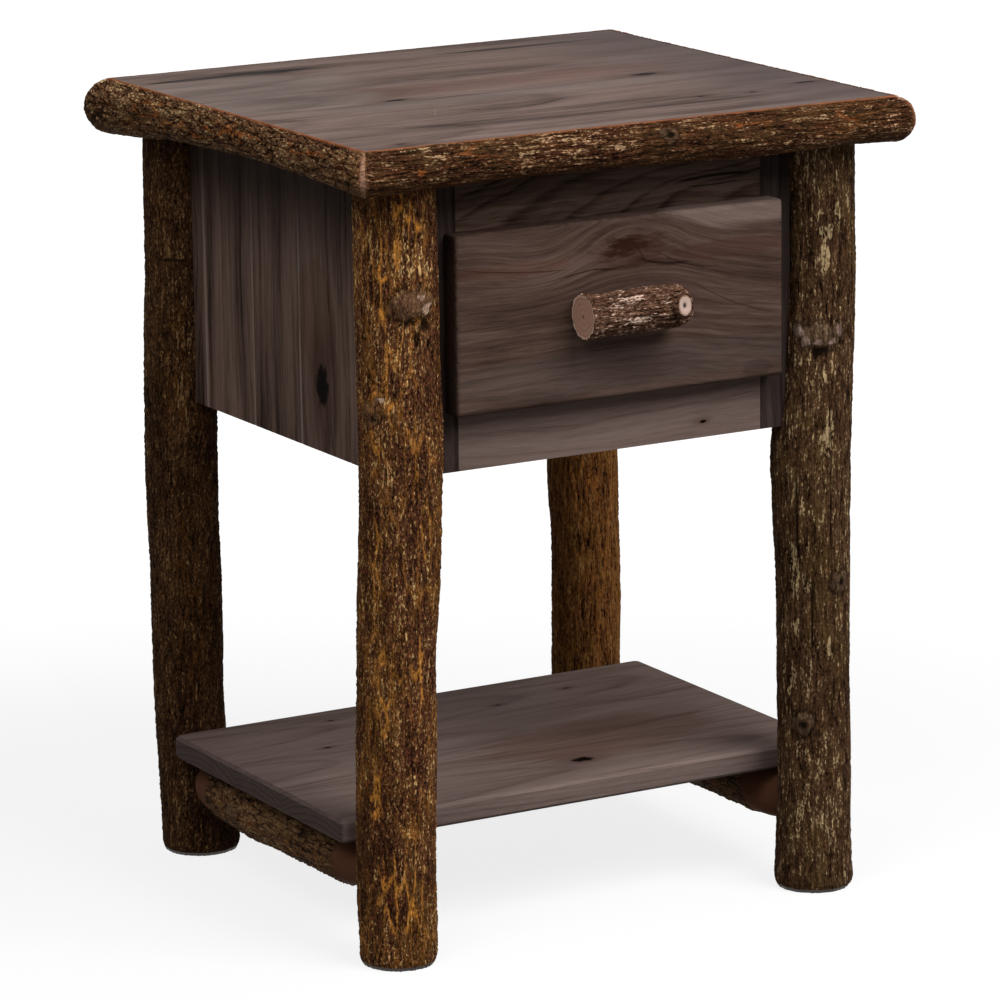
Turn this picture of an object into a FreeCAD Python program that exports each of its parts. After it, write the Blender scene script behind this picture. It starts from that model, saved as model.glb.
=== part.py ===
import FreeCAD, Part
import os
import re

# A rustic one-drawer side table made of hickory poles with the bark on and
# stained boards. Millimetres. The floor is z = 0, the front faces -Y, +X is to
# the right seen from the front, and the middle of the plank top is x = y = 0.

SIZES = (
    # Top of edge-glued planks with a border of half-round poles
    ("table_height", 660.0),
    ("panel_width", 478.2),
    ("panel_depth", 438.8),
    ("panel_thickness", 31.75),
    ("border_radius", 18.0),
    # Legs, set in from the planks' edges to the middle of each pole
    ("leg_radius", 31.75),
    ("leg_side_inset", 45.2),
    ("leg_front_inset", 45.4),
    ("leg_rear_inset", 25.2),
    ("leg_tenon_radius", 12.7),
    ("leg_tenon_length", 20.0),
    ("knot_radius", 13.0),
    ("knot_rise", 3.2),
    ("knot_root_depth", 3.0),
    ("foot_bevel", 5.0),
    # Shelf of three boards on two poles, measured from the middle of the legs
    ("shelf_top_height", 110.7),
    ("shelf_thickness", 19.1),
    ("shelf_side_overhang", 33.8),
    ("shelf_front_inset", 36.0),
    ("shelf_rear_inset", 32.7),
    ("shelf_edge_bevel", 2.6),
    ("shelf_corner_radius", 7.0),
    ("stretcher_radius", 26.0),
    ("stretcher_seat_depth", 1.2),
    ("stretcher_tenon_radius", 12.7),
    ("stretcher_tenon_depth", 24.0),
    ("stretcher_shoulder_length", 34.0),
    # Case boards between the legs, whose faces stand just outside the middle of the legs
    ("case_board_thickness", 19.05),
    ("case_side_offset", 2.35),
    ("case_rear_offset", 2.3),
    ("leg_groove_depth", 10.0),
    ("stave_bevel", 1.2),
    # Face frame
    ("frame_front_offset", 4.6),
    ("stile_width", 22.95),
    ("top_rail_height", 56.35),
    ("opening_height", 123.3),
    ("bottom_rail_height", 56.6),
    ("rail_tenon_length", 12.0),
    ("rail_tenon_thickness", 6.4),
    ("rail_tenon_shoulder", 8.0),
    # Cleats that hold the top, and blocks and runners that carry the drawer
    ("leg_clearance", 4.0),
    ("cleat_size", 20.0),
    ("block_height", 50.0),
    ("runner_height", 14.0),
    ("runner_setback", 8.6),
    ("runner_engagement", 6.0),
    # Drawer box
    ("box_side_play", 1.0),
    ("box_base_play", 4.0),
    ("box_top_play", 14.3),
    ("box_rear_clearance", 51.25),
    ("box_board_thickness", 12.7),
    ("runner_top_play", 0.3),
    ("runner_base_play", 0.6),
    ("runner_face_play", 0.5),
    ("tail_width", 26.0),
    ("tail_taper", 3.0),
    ("bottom_thickness", 6.35),
    ("bottom_groove_depth", 6.0),
    ("bottom_lift", 10.0),
    # Drawer front, which laps over the frame, and its twig pull
    ("front_side_lap", 10.7),
    ("front_end_lap", 10.0),
    ("front_thickness", 18.3),
    ("front_edge_radius", 4.0),
    ("front_corner_radius", 3.0),
    ("pull_length", 92.4),
    ("pull_radius", 18.9),
    ("pull_flat_depth", 1.8),
    ("stub_radius", 9.2),
    ("stub_proud", 2.6),
    ("stub_turn_reach", 34.0),
    ("stub_rise", 1.6),
    # Screws
    ("screw_radius", 2.2),
    ("screw_head_radius", 4.4),
    ("screw_head_depth", 2.6),
    ("long_screw_length", 44.0),
    ("shelf_screw_length", 55.0),
    ("short_screw_length", 25.0),
    ("pull_screw_length", 30.0),
)

# Sizes that follow from the ones above. A reach is measured from the middle of the top.
DERIVED_SIZES = (
    ("leg_side_reach", "panel_width / 2 - leg_side_inset"),
    ("leg_front_reach", "panel_depth / 2 - leg_front_inset"),
    ("leg_rear_reach", "panel_depth / 2 - leg_rear_inset"),
    ("shelf_width", "(leg_side_reach + shelf_side_overhang) * 2"),
    ("shelf_front_reach", "leg_front_reach - shelf_front_inset"),
    ("shelf_rear_reach", "leg_rear_reach - shelf_rear_inset"),
    ("opening_base_height", "table_height - panel_thickness - top_rail_height - opening_height"),
    ("case_base_height", "opening_base_height - bottom_rail_height"),
    ("case_side_reach", "leg_side_reach + case_side_offset"),
    ("case_rear_reach", "leg_rear_reach + case_rear_offset"),
    ("frame_front_reach", "leg_front_reach + frame_front_offset"),
    ("opening_width", "(leg_side_reach - leg_radius - stile_width) * 2"),
    ("box_height", "opening_height - box_base_play - box_top_play"),
    ("box_length", "frame_front_reach + case_rear_reach - case_board_thickness - box_rear_clearance"),
    ("front_width", "opening_width + front_side_lap * 2"),
    ("front_height", "opening_height + front_end_lap * 2"),
)

SIZE_NAMES = {name for name, value in SIZES + DERIVED_SIZES}

doc = FreeCAD.newDocument("rustic_table")
sheet = doc.addObject("Spreadsheet::Sheet", "sizes")
for row, (size_name, size_value) in enumerate(SIZES + DERIVED_SIZES, start=1):
    sheet.set(f"A{row}", size_name)
    sheet.set(f"B{row}", f"={size_value}")
    sheet.setAlias(f"B{row}", size_name)
doc.recompute()

RIGHT = FreeCAD.Vector(1, 0, 0)
BACK = FreeCAD.Vector(0, 1, 0)
UP = FreeCAD.Vector(0, 0, 1)
QUARTER_TURN = 90
HALF_TURN = 180
LENGTH_TOLERANCE = 1e-4
ANGLE_TOLERANCE = 1e-6

# Sides of the many-sided sections that stand for round ones
POLE_SIDES = 24
STRETCHER_SIDES = 16
TWIG_SIDES = 20
SHOOT_SIDES = 12
SCREW_SIDES = 8

nodes = []


def formula(text):
    """A formula in the sheet's names, as an expression that the document can hold."""
    return re.sub(r"[a-z_]+", lambda word: "sizes." + word.group() if word.group() in SIZE_NAMES
                  else word.group(), text)


def bind(thing, **formulas):
    for prop, text in formulas.items():
        thing.setExpression(prop, formula(text))


def place(thing, x="0", y="0", z="0"):
    for axis, text in (("x", x), ("y", y), ("z", z)):
        thing.setExpression("Placement.Base." + axis, formula(text))


def piece(thing, label):
    """Marks a finished sub-part. Its label names its file."""
    thing.Label = label
    nodes.append(thing)
    return thing


def box(name, x, y, z):
    """A box between pairs of low and high formulas."""
    block = doc.addObject("Part::Box", name)
    bind(block, Length=f"({x[1]}) - ({x[0]})", Width=f"({y[1]}) - ({y[0]})", Height=f"({z[1]}) - ({z[0]})")
    place(block, x[0], y[0], z[0])
    return block


def board(name, x, y, z):
    """A board as a body of its own, so that its edges can be rounded or bevelled."""
    body = doc.addObject("PartDesign::Body", name)
    blank = body.newObject("PartDesign::AdditiveBox", name + "_blank")
    bind(blank, Length=f"({x[1]}) - ({x[0]})", Width=f"({y[1]}) - ({y[0]})", Height=f"({z[1]}) - ({z[0]})")
    place(body, x[0], y[0], z[0])
    doc.recompute()
    return body


def edges_of(body, wanted):
    """Names of the edges of a body's last feature that a test picks, in the body's own frame."""
    shape = body.Tip.Shape
    limits = shape.BoundBox
    return [f"Edge{number}" for number, edge in enumerate(shape.Edges, start=1) if wanted(edge, limits)]


def dress(body, kind, size, names):
    """Rounds or bevels the named edges of a body's last feature by a size of the sheet."""
    feature = body.newObject("PartDesign::" + kind, f"{body.Name}_{kind.lower()}_{len(body.Group)}")
    feature.Base = (body.Tip if body.Tip is not feature else body.Group[-2], names)
    bind(feature, **{"Radius" if kind == "Fillet" else "Size": size})
    body.Tip = feature
    doc.recompute()
    return body


def near(value, limit):
    return abs(value - limit) < LENGTH_TOLERANCE


def direction(edge):
    line = edge.valueAt(edge.LastParameter) - edge.valueAt(edge.FirstParameter)
    return line.normalize()


def along(edge, axis):
    return direction(edge).cross(axis).Length < ANGLE_TOLERANCE


def fuse(name, parts):
    joined = doc.addObject("Part::MultiFuse", name)
    joined.Shapes = parts
    return joined


def cut(name, base, tools):
    """The base with the tools' volumes taken out of it."""
    tool = tools[0] if len(tools) == 1 else fuse(name + "_tools", tools)
    rest = doc.addObject("Part::Cut", name)
    rest.Base = base
    rest.Tool = tool
    return rest


def common(name, base, tool):
    shared = doc.addObject("Part::Common", name)
    shared.Base = base
    shared.Tool = tool
    return shared


def pole(name, sides, axis, stations):
    """A pole through many-sided rings: each station is a radius and the x, y and z of its middle."""
    rings = []
    for number, (radius, x, y, z) in enumerate(stations):
        ring = doc.addObject("Part::RegularPolygon", f"{name}_ring_{number}")
        ring.Polygon = sides
        bind(ring, Circumradius=radius)
        ring.Placement = FreeCAD.Placement(FreeCAD.Vector(), FreeCAD.Rotation(UP, axis))
        place(ring, x, y, z)
        rings.append(ring)
    loft = doc.addObject("Part::Loft", name)
    loft.Sections = rings
    loft.Solid = True
    loft.Ruled = True
    return loft


def prism(name, sides, radius, length, axis, x, y, z):
    """A many-sided bar that starts at a place and runs along an axis."""
    bar = doc.addObject("Part::Prism", name)
    bar.Polygon = sides
    bind(bar, Circumradius=radius, Height=length)
    bar.Placement = FreeCAD.Placement(FreeCAD.Vector(), FreeCAD.Rotation(UP, axis))
    place(bar, x, y, z)
    return bar


def screw(name, axis, length, x, y, z):
    """A screw whose head is flush at its place and whose shank runs along the axis."""
    head = prism(name + "_head", SCREW_SIDES, "screw_head_radius", "screw_head_depth", axis, x, y, z)
    shank = prism(name + "_shank", SCREW_SIDES, "screw_radius", length, axis, x, y, z)
    return fuse(name, [head, shank])


def group(name, solids):
    """Like fasteners as one sub-part of separate solids."""
    together = doc.addObject("Part::Compound", name)
    together.Links = solids
    return piece(together, name)


# Heights and places that several pieces share
top_underside = "table_height - panel_thickness"
shelf_underside = "shelf_top_height - shelf_thickness"
half_panel_width = "panel_width / 2"
half_panel_depth = "panel_depth / 2"
side_inner = "case_side_reach - case_board_thickness"
rear_inner = "case_rear_reach - case_board_thickness"
frame_back = "-frame_front_reach + case_board_thickness"
stile_inner = "opening_width / 2"
opening_top = "opening_base_height + opening_height"
leg_inner = "leg_side_reach - leg_radius"
box_half_width = "opening_width / 2 - box_side_play"
box_base = "opening_base_height + box_base_play"
box_middle = f"{box_base} + box_height / 2"
box_front = "-frame_front_reach"
box_rear = "-frame_front_reach + box_length"
front_base = "opening_base_height + opening_height / 2 - front_height / 2"
front_middle = "opening_base_height + opening_height / 2"
front_face = "-frame_front_reach - front_thickness"
between_legs = ("-leg_front_reach + leg_radius + leg_clearance",
                "leg_rear_reach - leg_radius - leg_clearance")


# Planks of the top, from the back to the front, with their edges as shares of the half depth
PLANK_EDGE_SHARES = (1.0, 0.2657, -0.1062, -0.5483, -1.0)
plank_edges = [f"{half_panel_depth} * {share}" for share in PLANK_EDGE_SHARES]
plank_names = ("top_plank_rear", "top_plank_middle_rear", "top_plank_middle_front", "top_plank_front")
planks = {}
for plank_name, far_edge, near_edge in zip(plank_names, plank_edges, plank_edges[1:]):
    planks[plank_name] = box(plank_name + "_blank", (f"-{half_panel_width}", half_panel_width),
                             (near_edge, far_edge), (top_underside, "table_height"))


# Half-round border poles. Each station is a share of the half length and of the radius.
# A half pole lies with its flat on the planks' edge and its top level with them, and it
# ends in half of a rounded corner, cut at the mitre.
BORDER_SHARES = {
    "border_front": ((-1.0, 1.0), (-0.74, 0.965), (-0.52, 0.935), (-0.15, 0.94), (0.18, 1.0), (0.46, 1.05),
                     (0.84, 1.015), (1.0, 1.055)),
    "border_right": ((-1.0, 1.055), (-0.7, 0.98), (-0.3, 1.03), (0.15, 0.95), (0.55, 1.0), (0.8, 1.12),
                     (1.0, 1.28)),
    "border_back": ((-1.0, 1.28), (-0.88, 0.97), (-0.5, 0.93), (0.0, 1.0), (0.45, 0.94), (0.88, 0.97),
                    (1.0, 1.3)),
    "border_left": ((-1.0, 1.3), (-0.68, 1.15), (-0.5, 1.03), (-0.2, 0.96), (0.16, 0.88), (0.42, 0.9),
                    (0.72, 0.93), (1.0, 1.0)),
}
BORDER_SIDES = {
    "border_front": (half_panel_width, "0", f"-{half_panel_depth}", 0),
    "border_right": (half_panel_depth, half_panel_width, "0", QUARTER_TURN),
    "border_back": (half_panel_width, "0", half_panel_depth, HALF_TURN),
    "border_left": (half_panel_depth, f"-{half_panel_width}", "0", -QUARTER_TURN),
}
# Each nose station is a share of the end radius beyond the end, and of the radius there.
NOSE_SHARES = ((0.34, 0.94), (0.64, 0.77), (0.87, 0.5), (0.985, 0.17))
borders = {}
for border_name, share_table in BORDER_SHARES.items():
    half_span, side_x, side_y, side_turn = BORDER_SIDES[border_name]
    border_stations = [(f"border_radius * {girth}", f"{half_span} * {reach}", "0",
                        f"table_height - border_radius * {girth}") for reach, girth in share_table]
    first_girth = share_table[0][1]
    last_girth = share_table[-1][1]
    for run, rise in NOSE_SHARES:
        border_stations.insert(0, (f"border_radius * {first_girth} * {rise}",
                                   f"-{half_span} - border_radius * {first_girth} * {run}", "0",
                                   f"table_height - border_radius * {first_girth}"))
        border_stations.append((f"border_radius * {last_girth} * {rise}",
                                f"{half_span} + border_radius * {last_girth} * {run}", "0",
                                f"table_height - border_radius * {last_girth}"))
    round_pole = pole(border_name + "_pole", POLE_SIDES, RIGHT, border_stations)
    mitre = doc.addObject("Part::Wedge", border_name + "_mitre")
    bind(mitre, Xmin=f"-{half_span} - border_radius * 2", Xmax=f"{half_span} + border_radius * 2",
         X2min=f"-{half_span}", X2max=half_span, Ymin="-border_radius * 2", Ymax="0",
         Zmin="table_height - border_radius * 3", Zmax="table_height + border_radius",
         Z2min="table_height - border_radius * 3", Z2max="table_height + border_radius")
    half_pole = common(border_name, round_pole, mitre)
    half_pole.Placement = FreeCAD.Placement(FreeCAD.Vector(), FreeCAD.Rotation(UP, side_turn))
    place(half_pole, side_x, side_y)
    borders[border_name] = piece(half_pole, border_name)


# Side panels of vertical staves, let into grooves in the legs. The joints are shares of the way from
# the front groove to the rear one.
STAVE_JOINT_SHARES = (0.0, 0.1437, 0.395, 0.6463, 0.8976, 1.0)
groove_bottoms = ("-leg_front_reach + leg_radius - leg_groove_depth",
                  "leg_rear_reach - leg_radius + leg_groove_depth")
stave_edges = [f"({groove_bottoms[0]}) * (1 - {share}) + ({groove_bottoms[1]}) * {share}"
               for share in STAVE_JOINT_SHARES]
side_staves = {"left": [], "right": []}
case_side_faces = {"left": ("-case_side_reach", f"-({side_inner})"), "right": (side_inner, "case_side_reach")}
for side, faces in case_side_faces.items():
    for number, (near_edge, far_edge) in enumerate(zip(stave_edges, stave_edges[1:]), start=1):
        stave = board(f"side_stave_{side}_{number}", faces, (near_edge, far_edge),
                      ("case_base_height", top_underside))
        outer = "XMin" if side == "left" else "XMax"
        inner_joints = [limit for limit, has_joint in (("YMin", number > 1), ("YMax", number < 5))
                        if has_joint]
        dress(stave, "Chamfer", "stave_bevel", edges_of(stave, lambda edge, limits: along(edge, UP)
              and near(edge.CenterOfMass.x, getattr(limits, outer))
              and any(near(edge.CenterOfMass.y, getattr(limits, joint)) for joint in inner_joints)))
        side_staves[side].append(piece(stave, f"side_stave_{side}_{number}"))


# Back panel of four staves between the rear legs
back_reach = f"{leg_inner} + leg_groove_depth"
back_staves = []
for number in range(4):
    stave = board(f"back_stave_{number + 1}",
                  (f"({back_reach}) * ({number} / 2 - 1)", f"({back_reach}) * ({number + 1} / 2 - 1)"),
                  (rear_inner, "case_rear_reach"), ("case_base_height", top_underside))
    inner_joints = [limit for limit, has_joint in (("XMin", number > 0), ("XMax", number < 3)) if has_joint]
    dress(stave, "Chamfer", "stave_bevel", edges_of(stave, lambda edge, limits: along(edge, UP)
          and near(edge.CenterOfMass.y, limits.YMax)
          and any(near(edge.CenterOfMass.x, getattr(limits, joint)) for joint in inner_joints)))
    back_staves.append(piece(stave, f"back_stave_{number + 1}"))


# Face frame: two rails tenoned into two stiles, and the stiles let into the front legs
frame_depth = ("-frame_front_reach", frame_back)
tenon_depth = ("-frame_front_reach + case_board_thickness / 2 - rail_tenon_thickness / 2",
               "-frame_front_reach + case_board_thickness / 2 + rail_tenon_thickness / 2")
rail_tenons = []
for rail_name, low, high in (("rail_top", opening_top, top_underside),
                             ("rail_bottom", "case_base_height", "opening_base_height")):
    rail_blank = box(rail_name + "_blank", (f"-{stile_inner}", stile_inner), frame_depth, (low, high))
    rail_tenon = box(rail_name + "_tenon",
                     (f"-{stile_inner} - rail_tenon_length", f"{stile_inner} + rail_tenon_length"),
                     tenon_depth, (f"{low} + rail_tenon_shoulder", f"{high} - rail_tenon_shoulder"))
    rail_tenons.append(rail_tenon)
    piece(fuse(rail_name, [rail_blank, rail_tenon]), rail_name)
stiles = {}
for side, span in (("left", (f"-({back_reach})", f"-{stile_inner}")), ("right", (stile_inner, back_reach))):
    stile_blank = box(f"stile_{side}_blank", span, frame_depth, ("case_base_height", top_underside))
    stiles[side] = piece(cut(f"stile_{side}", stile_blank, rail_tenons), f"stile_{side}")


# Shelf of three boards with rounded corners and eased edges
SHELF_JOINT_SHARES = (0.0, 0.3539, 0.6311, 1.0)
shelf_joints = [f"-shelf_front_reach * (1 - {share}) + shelf_rear_reach * {share}"
                for share in SHELF_JOINT_SHARES]
shelf_boards = []
for place_name, near_edge, far_edge, free_limit in (
        ("front", shelf_joints[0], shelf_joints[1], "YMin"),
        ("middle", shelf_joints[1], shelf_joints[2], None),
        ("rear", shelf_joints[2], shelf_joints[3], "YMax")):
    shelf = board(f"shelf_blank_{place_name}", ("-shelf_width / 2", "shelf_width / 2"), (near_edge, far_edge),
                  (shelf_underside, "shelf_top_height"))
    if free_limit:
        dress(shelf, "Fillet", "shelf_corner_radius", edges_of(shelf, lambda edge, limits: along(edge, UP)
              and near(edge.CenterOfMass.y, getattr(limits, free_limit))))
    joint_limits = [limit for limit in ("YMin", "YMax") if limit != free_limit]
    dress(shelf, "Chamfer", "shelf_edge_bevel", edges_of(shelf, lambda edge, limits: near(
          edge.valueAt(edge.FirstParameter).z, edge.valueAt(edge.LastParameter).z)
          and not any(near(edge.CenterOfMass.y, getattr(limits, joint)) for joint in joint_limits)))
    shelf_boards.append(shelf)


# Stretcher poles under the shelf. Their peeled ends have a round shoulder and a tenon in the leg.
# Each station is a share of the clear length between the legs and of the radius.
STRETCHER_SHARES = ((0.2, 0.97), (0.42, 0.99), (0.66, 1.07), (0.82, 0.99))
SHOULDER_SHARES = ((0.14, 0.0), (0.36, 0.66), (1.0, 1.0))
clear_length = "(leg_front_reach + leg_rear_reach - leg_radius * 2)"
front_leg_back = "-leg_front_reach + leg_radius"
rear_leg_front = "leg_rear_reach - leg_radius"
stretcher_level = f"{shelf_underside} + stretcher_seat_depth - stretcher_radius"
stretchers = {}
for side, sign in (("left", "-"), ("right", "")):
    middle = f"{sign}leg_side_reach"
    swell = "(stretcher_radius - stretcher_tenon_radius)"
    front_end = [("stretcher_tenon_radius", f"{front_leg_back} - stretcher_tenon_depth")]
    front_end += [(f"stretcher_tenon_radius + {swell} * {rise}",
                   f"{front_leg_back} + stretcher_shoulder_length * {run}") for run, rise in SHOULDER_SHARES]
    rear_end = [(f"stretcher_tenon_radius + {swell} * {rise}",
                 f"{rear_leg_front} - stretcher_shoulder_length * {run}")
                for run, rise in reversed(SHOULDER_SHARES)]
    rear_end += [("stretcher_tenon_radius", f"{rear_leg_front} + stretcher_tenon_depth")]
    body_part = [(f"stretcher_radius * {girth}", f"{front_leg_back} + {clear_length} * {run}")
                 for run, girth in STRETCHER_SHARES]
    stretcher_pole = pole(f"stretcher_{side}_pole", STRETCHER_SIDES, BACK,
                          [(radius, middle, y, stretcher_level)
                           for radius, y in front_end + body_part + rear_end])
    stretchers[side] = cut(f"stretcher_{side}_seated", stretcher_pole, shelf_boards)


# Legs. Each station is a share of the leg's height, of its radius, and of its radius to the right and
# to the back, by which the pole wanders.
LEG_SHARES = {
    "leg_front_left": ((0.012, 1.0, -0.095, 0.05), (0.1, 1.008, -0.12, 0.065), (0.34, 1.01, -0.058, 0.03),
                       (0.4, 1.0, -0.05, 0.026), (0.47, 1.03, 0.025, -0.014), (0.55, 1.04, 0.094, -0.05),
                       (0.63, 1.052, 0.136, -0.074), (0.8, 1.045, 0.11, -0.06), (1.0, 1.03, 0.086, -0.047)),
    "leg_front_right": ((0.012, 1.04, -0.018, 0.012), (0.05, 1.005, -0.02, 0.01), (0.16, 0.965, 0.0, 0.0),
                        (0.28, 0.955, -0.02, 0.012), (0.4, 0.965, -0.03, 0.019), (0.52, 1.03, -0.07, 0.047),
                        (0.58, 1.05, -0.075, 0.05), (0.67, 1.0, 0.0, 0.0), (0.79, 0.965, 0.085, -0.05),
                        (1.0, 0.955, 0.08, -0.05)),
    "leg_rear_left": ((0.012, 1.05, 0.165, -0.08), (0.06, 0.99, 0.09, -0.045), (0.2, 0.94, -0.042, 0.02),
                      (0.35, 0.965, -0.037, 0.018), (0.43, 0.955, -0.056, 0.028), (0.5, 0.97, -0.078, 0.038),
                      (0.62, 0.985, -0.05, 0.025), (0.8, 0.98, 0.05, -0.02), (1.0, 0.965, 0.09, -0.04)),
    "leg_rear_right": ((0.012, 1.0, 0.04, 0.03), (0.1, 0.965, 0.02, 0.01), (0.2, 0.958, 0.005, 0.0),
                       (0.27, 0.97, 0.028, -0.015), (0.35, 0.965, 0.019, -0.01), (0.41, 0.99, -0.02, 0.01),
                       (0.5, 0.965, -0.034, 0.02), (0.7, 0.98, 0.0, 0.0), (1.0, 0.96, -0.02, 0.0)),
}
LEG_PLACES = {
    "leg_front_left": ("-leg_side_reach", "-leg_front_reach", "left"),
    "leg_front_right": ("leg_side_reach", "-leg_front_reach", "right"),
    "leg_rear_left": ("-leg_side_reach", "leg_rear_reach", "left"),
    "leg_rear_right": ("leg_side_reach", "leg_rear_reach", "right"),
}
# Knots, where side shoots were cut off. Each is a share of the leg's height, its direction to the right
# and to the back, and a share of a knot's radius.
KNOT_SHARES = {
    "leg_front_left": ((0.848, 0.03, -1, 1), (0.716, -0.94, -0.34, 0.8)),
    "leg_front_right": ((0.738, -0.45, -0.89, 1.1), (0.417, 0.26, -0.97, 0.7), (0.229, -0.78, -0.63, 0.8)),
    "leg_rear_left": ((0.478, 0.5, 0.87, 0.8),),
    "leg_rear_right": ((0.668, 0, 1, 0.8),),
}
KNOT_TIP_SHARE = 0.65


def table_at(table, share):
    """The columns of a table of shares at a share of its first column, on straight lines."""
    for low, high in zip(table, table[1:]):
        if share <= high[0]:
            part = (share - low[0]) / (high[0] - low[0])
            return [first + (last - first) * part for first, last in zip(low, high)]


def knot(name, leg_x, leg_y, leg_table, knot_shares):
    """A low round stub on a leg, from inside it to just past its bark."""
    height, right, back, size = knot_shares
    girth, wander_right, wander_back = table_at(leg_table, height)[1:]
    level = f"({top_underside}) * {height}"
    reach = f"leg_radius * {girth}"
    stations = [(f"knot_radius * {size}", "leg_radius / 2"),
                (f"knot_radius * {size}", f"({reach} - knot_root_depth)"),
                (f"knot_radius * {size * KNOT_TIP_SHARE}", f"({reach} + knot_rise * {size})")]
    return pole(name, SHOOT_SIDES, FreeCAD.Vector(right, back, 0),
                [(radius, f"{leg_x} + leg_radius * {wander_right} + {distance} * {right}",
                  f"{leg_y} + leg_radius * {wander_back} + {distance} * {back}", level)
                 for radius, distance in stations])


leg_tenons = []
for leg_name, leg_table in LEG_SHARES.items():
    leg_x, leg_y, side = LEG_PLACES[leg_name]
    foot_girth, foot_right, foot_back = leg_table[0][1:]
    leg_stations = [(f"leg_radius * {foot_girth} - foot_bevel / 2", f"{leg_x} + leg_radius * {foot_right}",
                     f"{leg_y} + leg_radius * {foot_back}", "0")]
    leg_stations += [(f"leg_radius * {girth}", f"{leg_x} + leg_radius * {right}",
                      f"{leg_y} + leg_radius * {back}", f"({top_underside}) * {height}")
                     for height, girth, right, back in leg_table]
    leg_pole = pole(leg_name + "_pole", POLE_SIDES, UP, leg_stations)
    leg_tenon = prism(leg_name + "_tenon", SHOOT_SIDES, "leg_tenon_radius", "leg_tenon_length", UP,
                      leg_x, leg_y, top_underside)
    leg_tenons.append(leg_tenon)
    knots = [knot(f"{leg_name}_knot_{number}", leg_x, leg_y, leg_table, shares)
             for number, shares in enumerate(KNOT_SHARES[leg_name])]
    mates = [side_staves[side][0], stiles[side]] if "front" in leg_name else [side_staves[side][-1]]
    if "rear" in leg_name:
        mates.append(back_staves[0] if side == "left" else back_staves[-1])
        mates.append(borders["border_back"])
    mates.append(stretchers[side])
    piece(cut(leg_name, fuse(leg_name + "_whole", [leg_pole, leg_tenon] + knots), mates), leg_name)


# Cleats under the top and screws up through them into the planks
cleat_level = (f"{top_underside} - cleat_size", top_underside)
cleats = {
    "top_cleat_left": box("top_cleat_left_blank", (f"-({side_inner})", f"-({side_inner}) + cleat_size"),
                          between_legs, cleat_level),
    "top_cleat_right": box("top_cleat_right_blank", (f"{side_inner} - cleat_size", side_inner),
                           between_legs, cleat_level),
    "top_cleat_rear": box("top_cleat_rear_blank",
                          (f"-({side_inner}) + cleat_size", f"{side_inner} - cleat_size"),
                          (f"{rear_inner} - cleat_size", rear_inner), cleat_level),
}
CLEAT_SCREW_SHARES = (-0.6, 0.6)
cleat_middles = {"left": f"-({side_inner}) + cleat_size / 2", "right": f"{side_inner} - cleat_size / 2"}
cleat_screws = []
for number, share in enumerate(CLEAT_SCREW_SHARES):
    for side, x in cleat_middles.items():
        cleat_screws.append(screw(f"cleat_screw_{side}_{number}", UP, "long_screw_length", x,
                                  f"{half_panel_depth} * {share}", cleat_level[0]))
for side, sign in (("left", "-"), ("right", "")):
    cleat_screws.append(screw(f"cleat_screw_rear_{side}", UP, "long_screw_length", f"{sign}{stile_inner} / 2",
                              f"{rear_inner} - cleat_size / 2", cleat_level[0]))
for cleat_name, cleat_blank in cleats.items():
    piece(cut(cleat_name, cleat_blank, cleat_screws), cleat_name)
for plank_name, plank_blank in planks.items():
    piece(cut(plank_name, plank_blank, leg_tenons + cleat_screws), plank_name)
group("cleat_screws", cleat_screws)


# Shelf screws, up through the stretchers into the shelf boards
SHELF_SCREW_SHARES = (0.22, 0.78)
shelf_screws = []
for side, sign in (("left", "-"), ("right", "")):
    for number, share in enumerate(SHELF_SCREW_SHARES):
        shelf_screws.append(screw(f"shelf_screw_{side}_{number}", UP, "shelf_screw_length",
                                  f"{sign}leg_side_reach", f"{front_leg_back} + {clear_length} * {share}",
                                  f"{stretcher_level} - stretcher_radius + screw_head_depth"))
for side in stretchers:
    piece(cut(f"stretcher_{side}", stretchers[side], shelf_screws), f"stretcher_{side}")
for shelf in shelf_boards:
    shelf_name = shelf.Name.replace("blank", "board")
    piece(cut(shelf_name, shelf, shelf_screws), shelf_name)
group("shelf_screws", shelf_screws)


# Guide blocks on the side panels, and runners that the drawer's grooved sides ride on
runner_level = (f"{box_middle} - runner_height / 2", f"{box_middle} + runner_height / 2")
runner_tip = f"{stile_inner} - box_side_play - runner_engagement"
RUNNER_SCREW_SHARES = (0.06, 0.94)
runner_screws = []
for side, sign, outward in (("left", "-", -RIGHT), ("right", "", RIGHT)):
    spans = {"left": ((f"-({side_inner})", f"-{stile_inner}"), (f"-{stile_inner}", f"-({runner_tip})")),
             "right": ((stile_inner, side_inner), (runner_tip, stile_inner))}[side]
    block = box(f"guide_block_{side}_blank", spans[0], between_legs,
                (f"{box_middle} - block_height / 2", f"{box_middle} + block_height / 2"))
    runner = box(f"drawer_runner_{side}_blank", spans[1],
                 ("-frame_front_reach + runner_setback", between_legs[1]), runner_level)
    side_screws = [screw(f"runner_screw_{side}_{number}", outward, "short_screw_length",
                         f"{sign}({runner_tip})",
                         f"({between_legs[0]}) * (1 - {share}) + ({between_legs[1]}) * {share}", box_middle)
                   for number, share in enumerate(RUNNER_SCREW_SHARES)]
    piece(cut(f"guide_block_{side}", block, side_screws), f"guide_block_{side}")
    piece(cut(f"drawer_runner_{side}", runner, side_screws), f"drawer_runner_{side}")
    runner_screws += side_screws
group("runner_screws", runner_screws)


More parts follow.
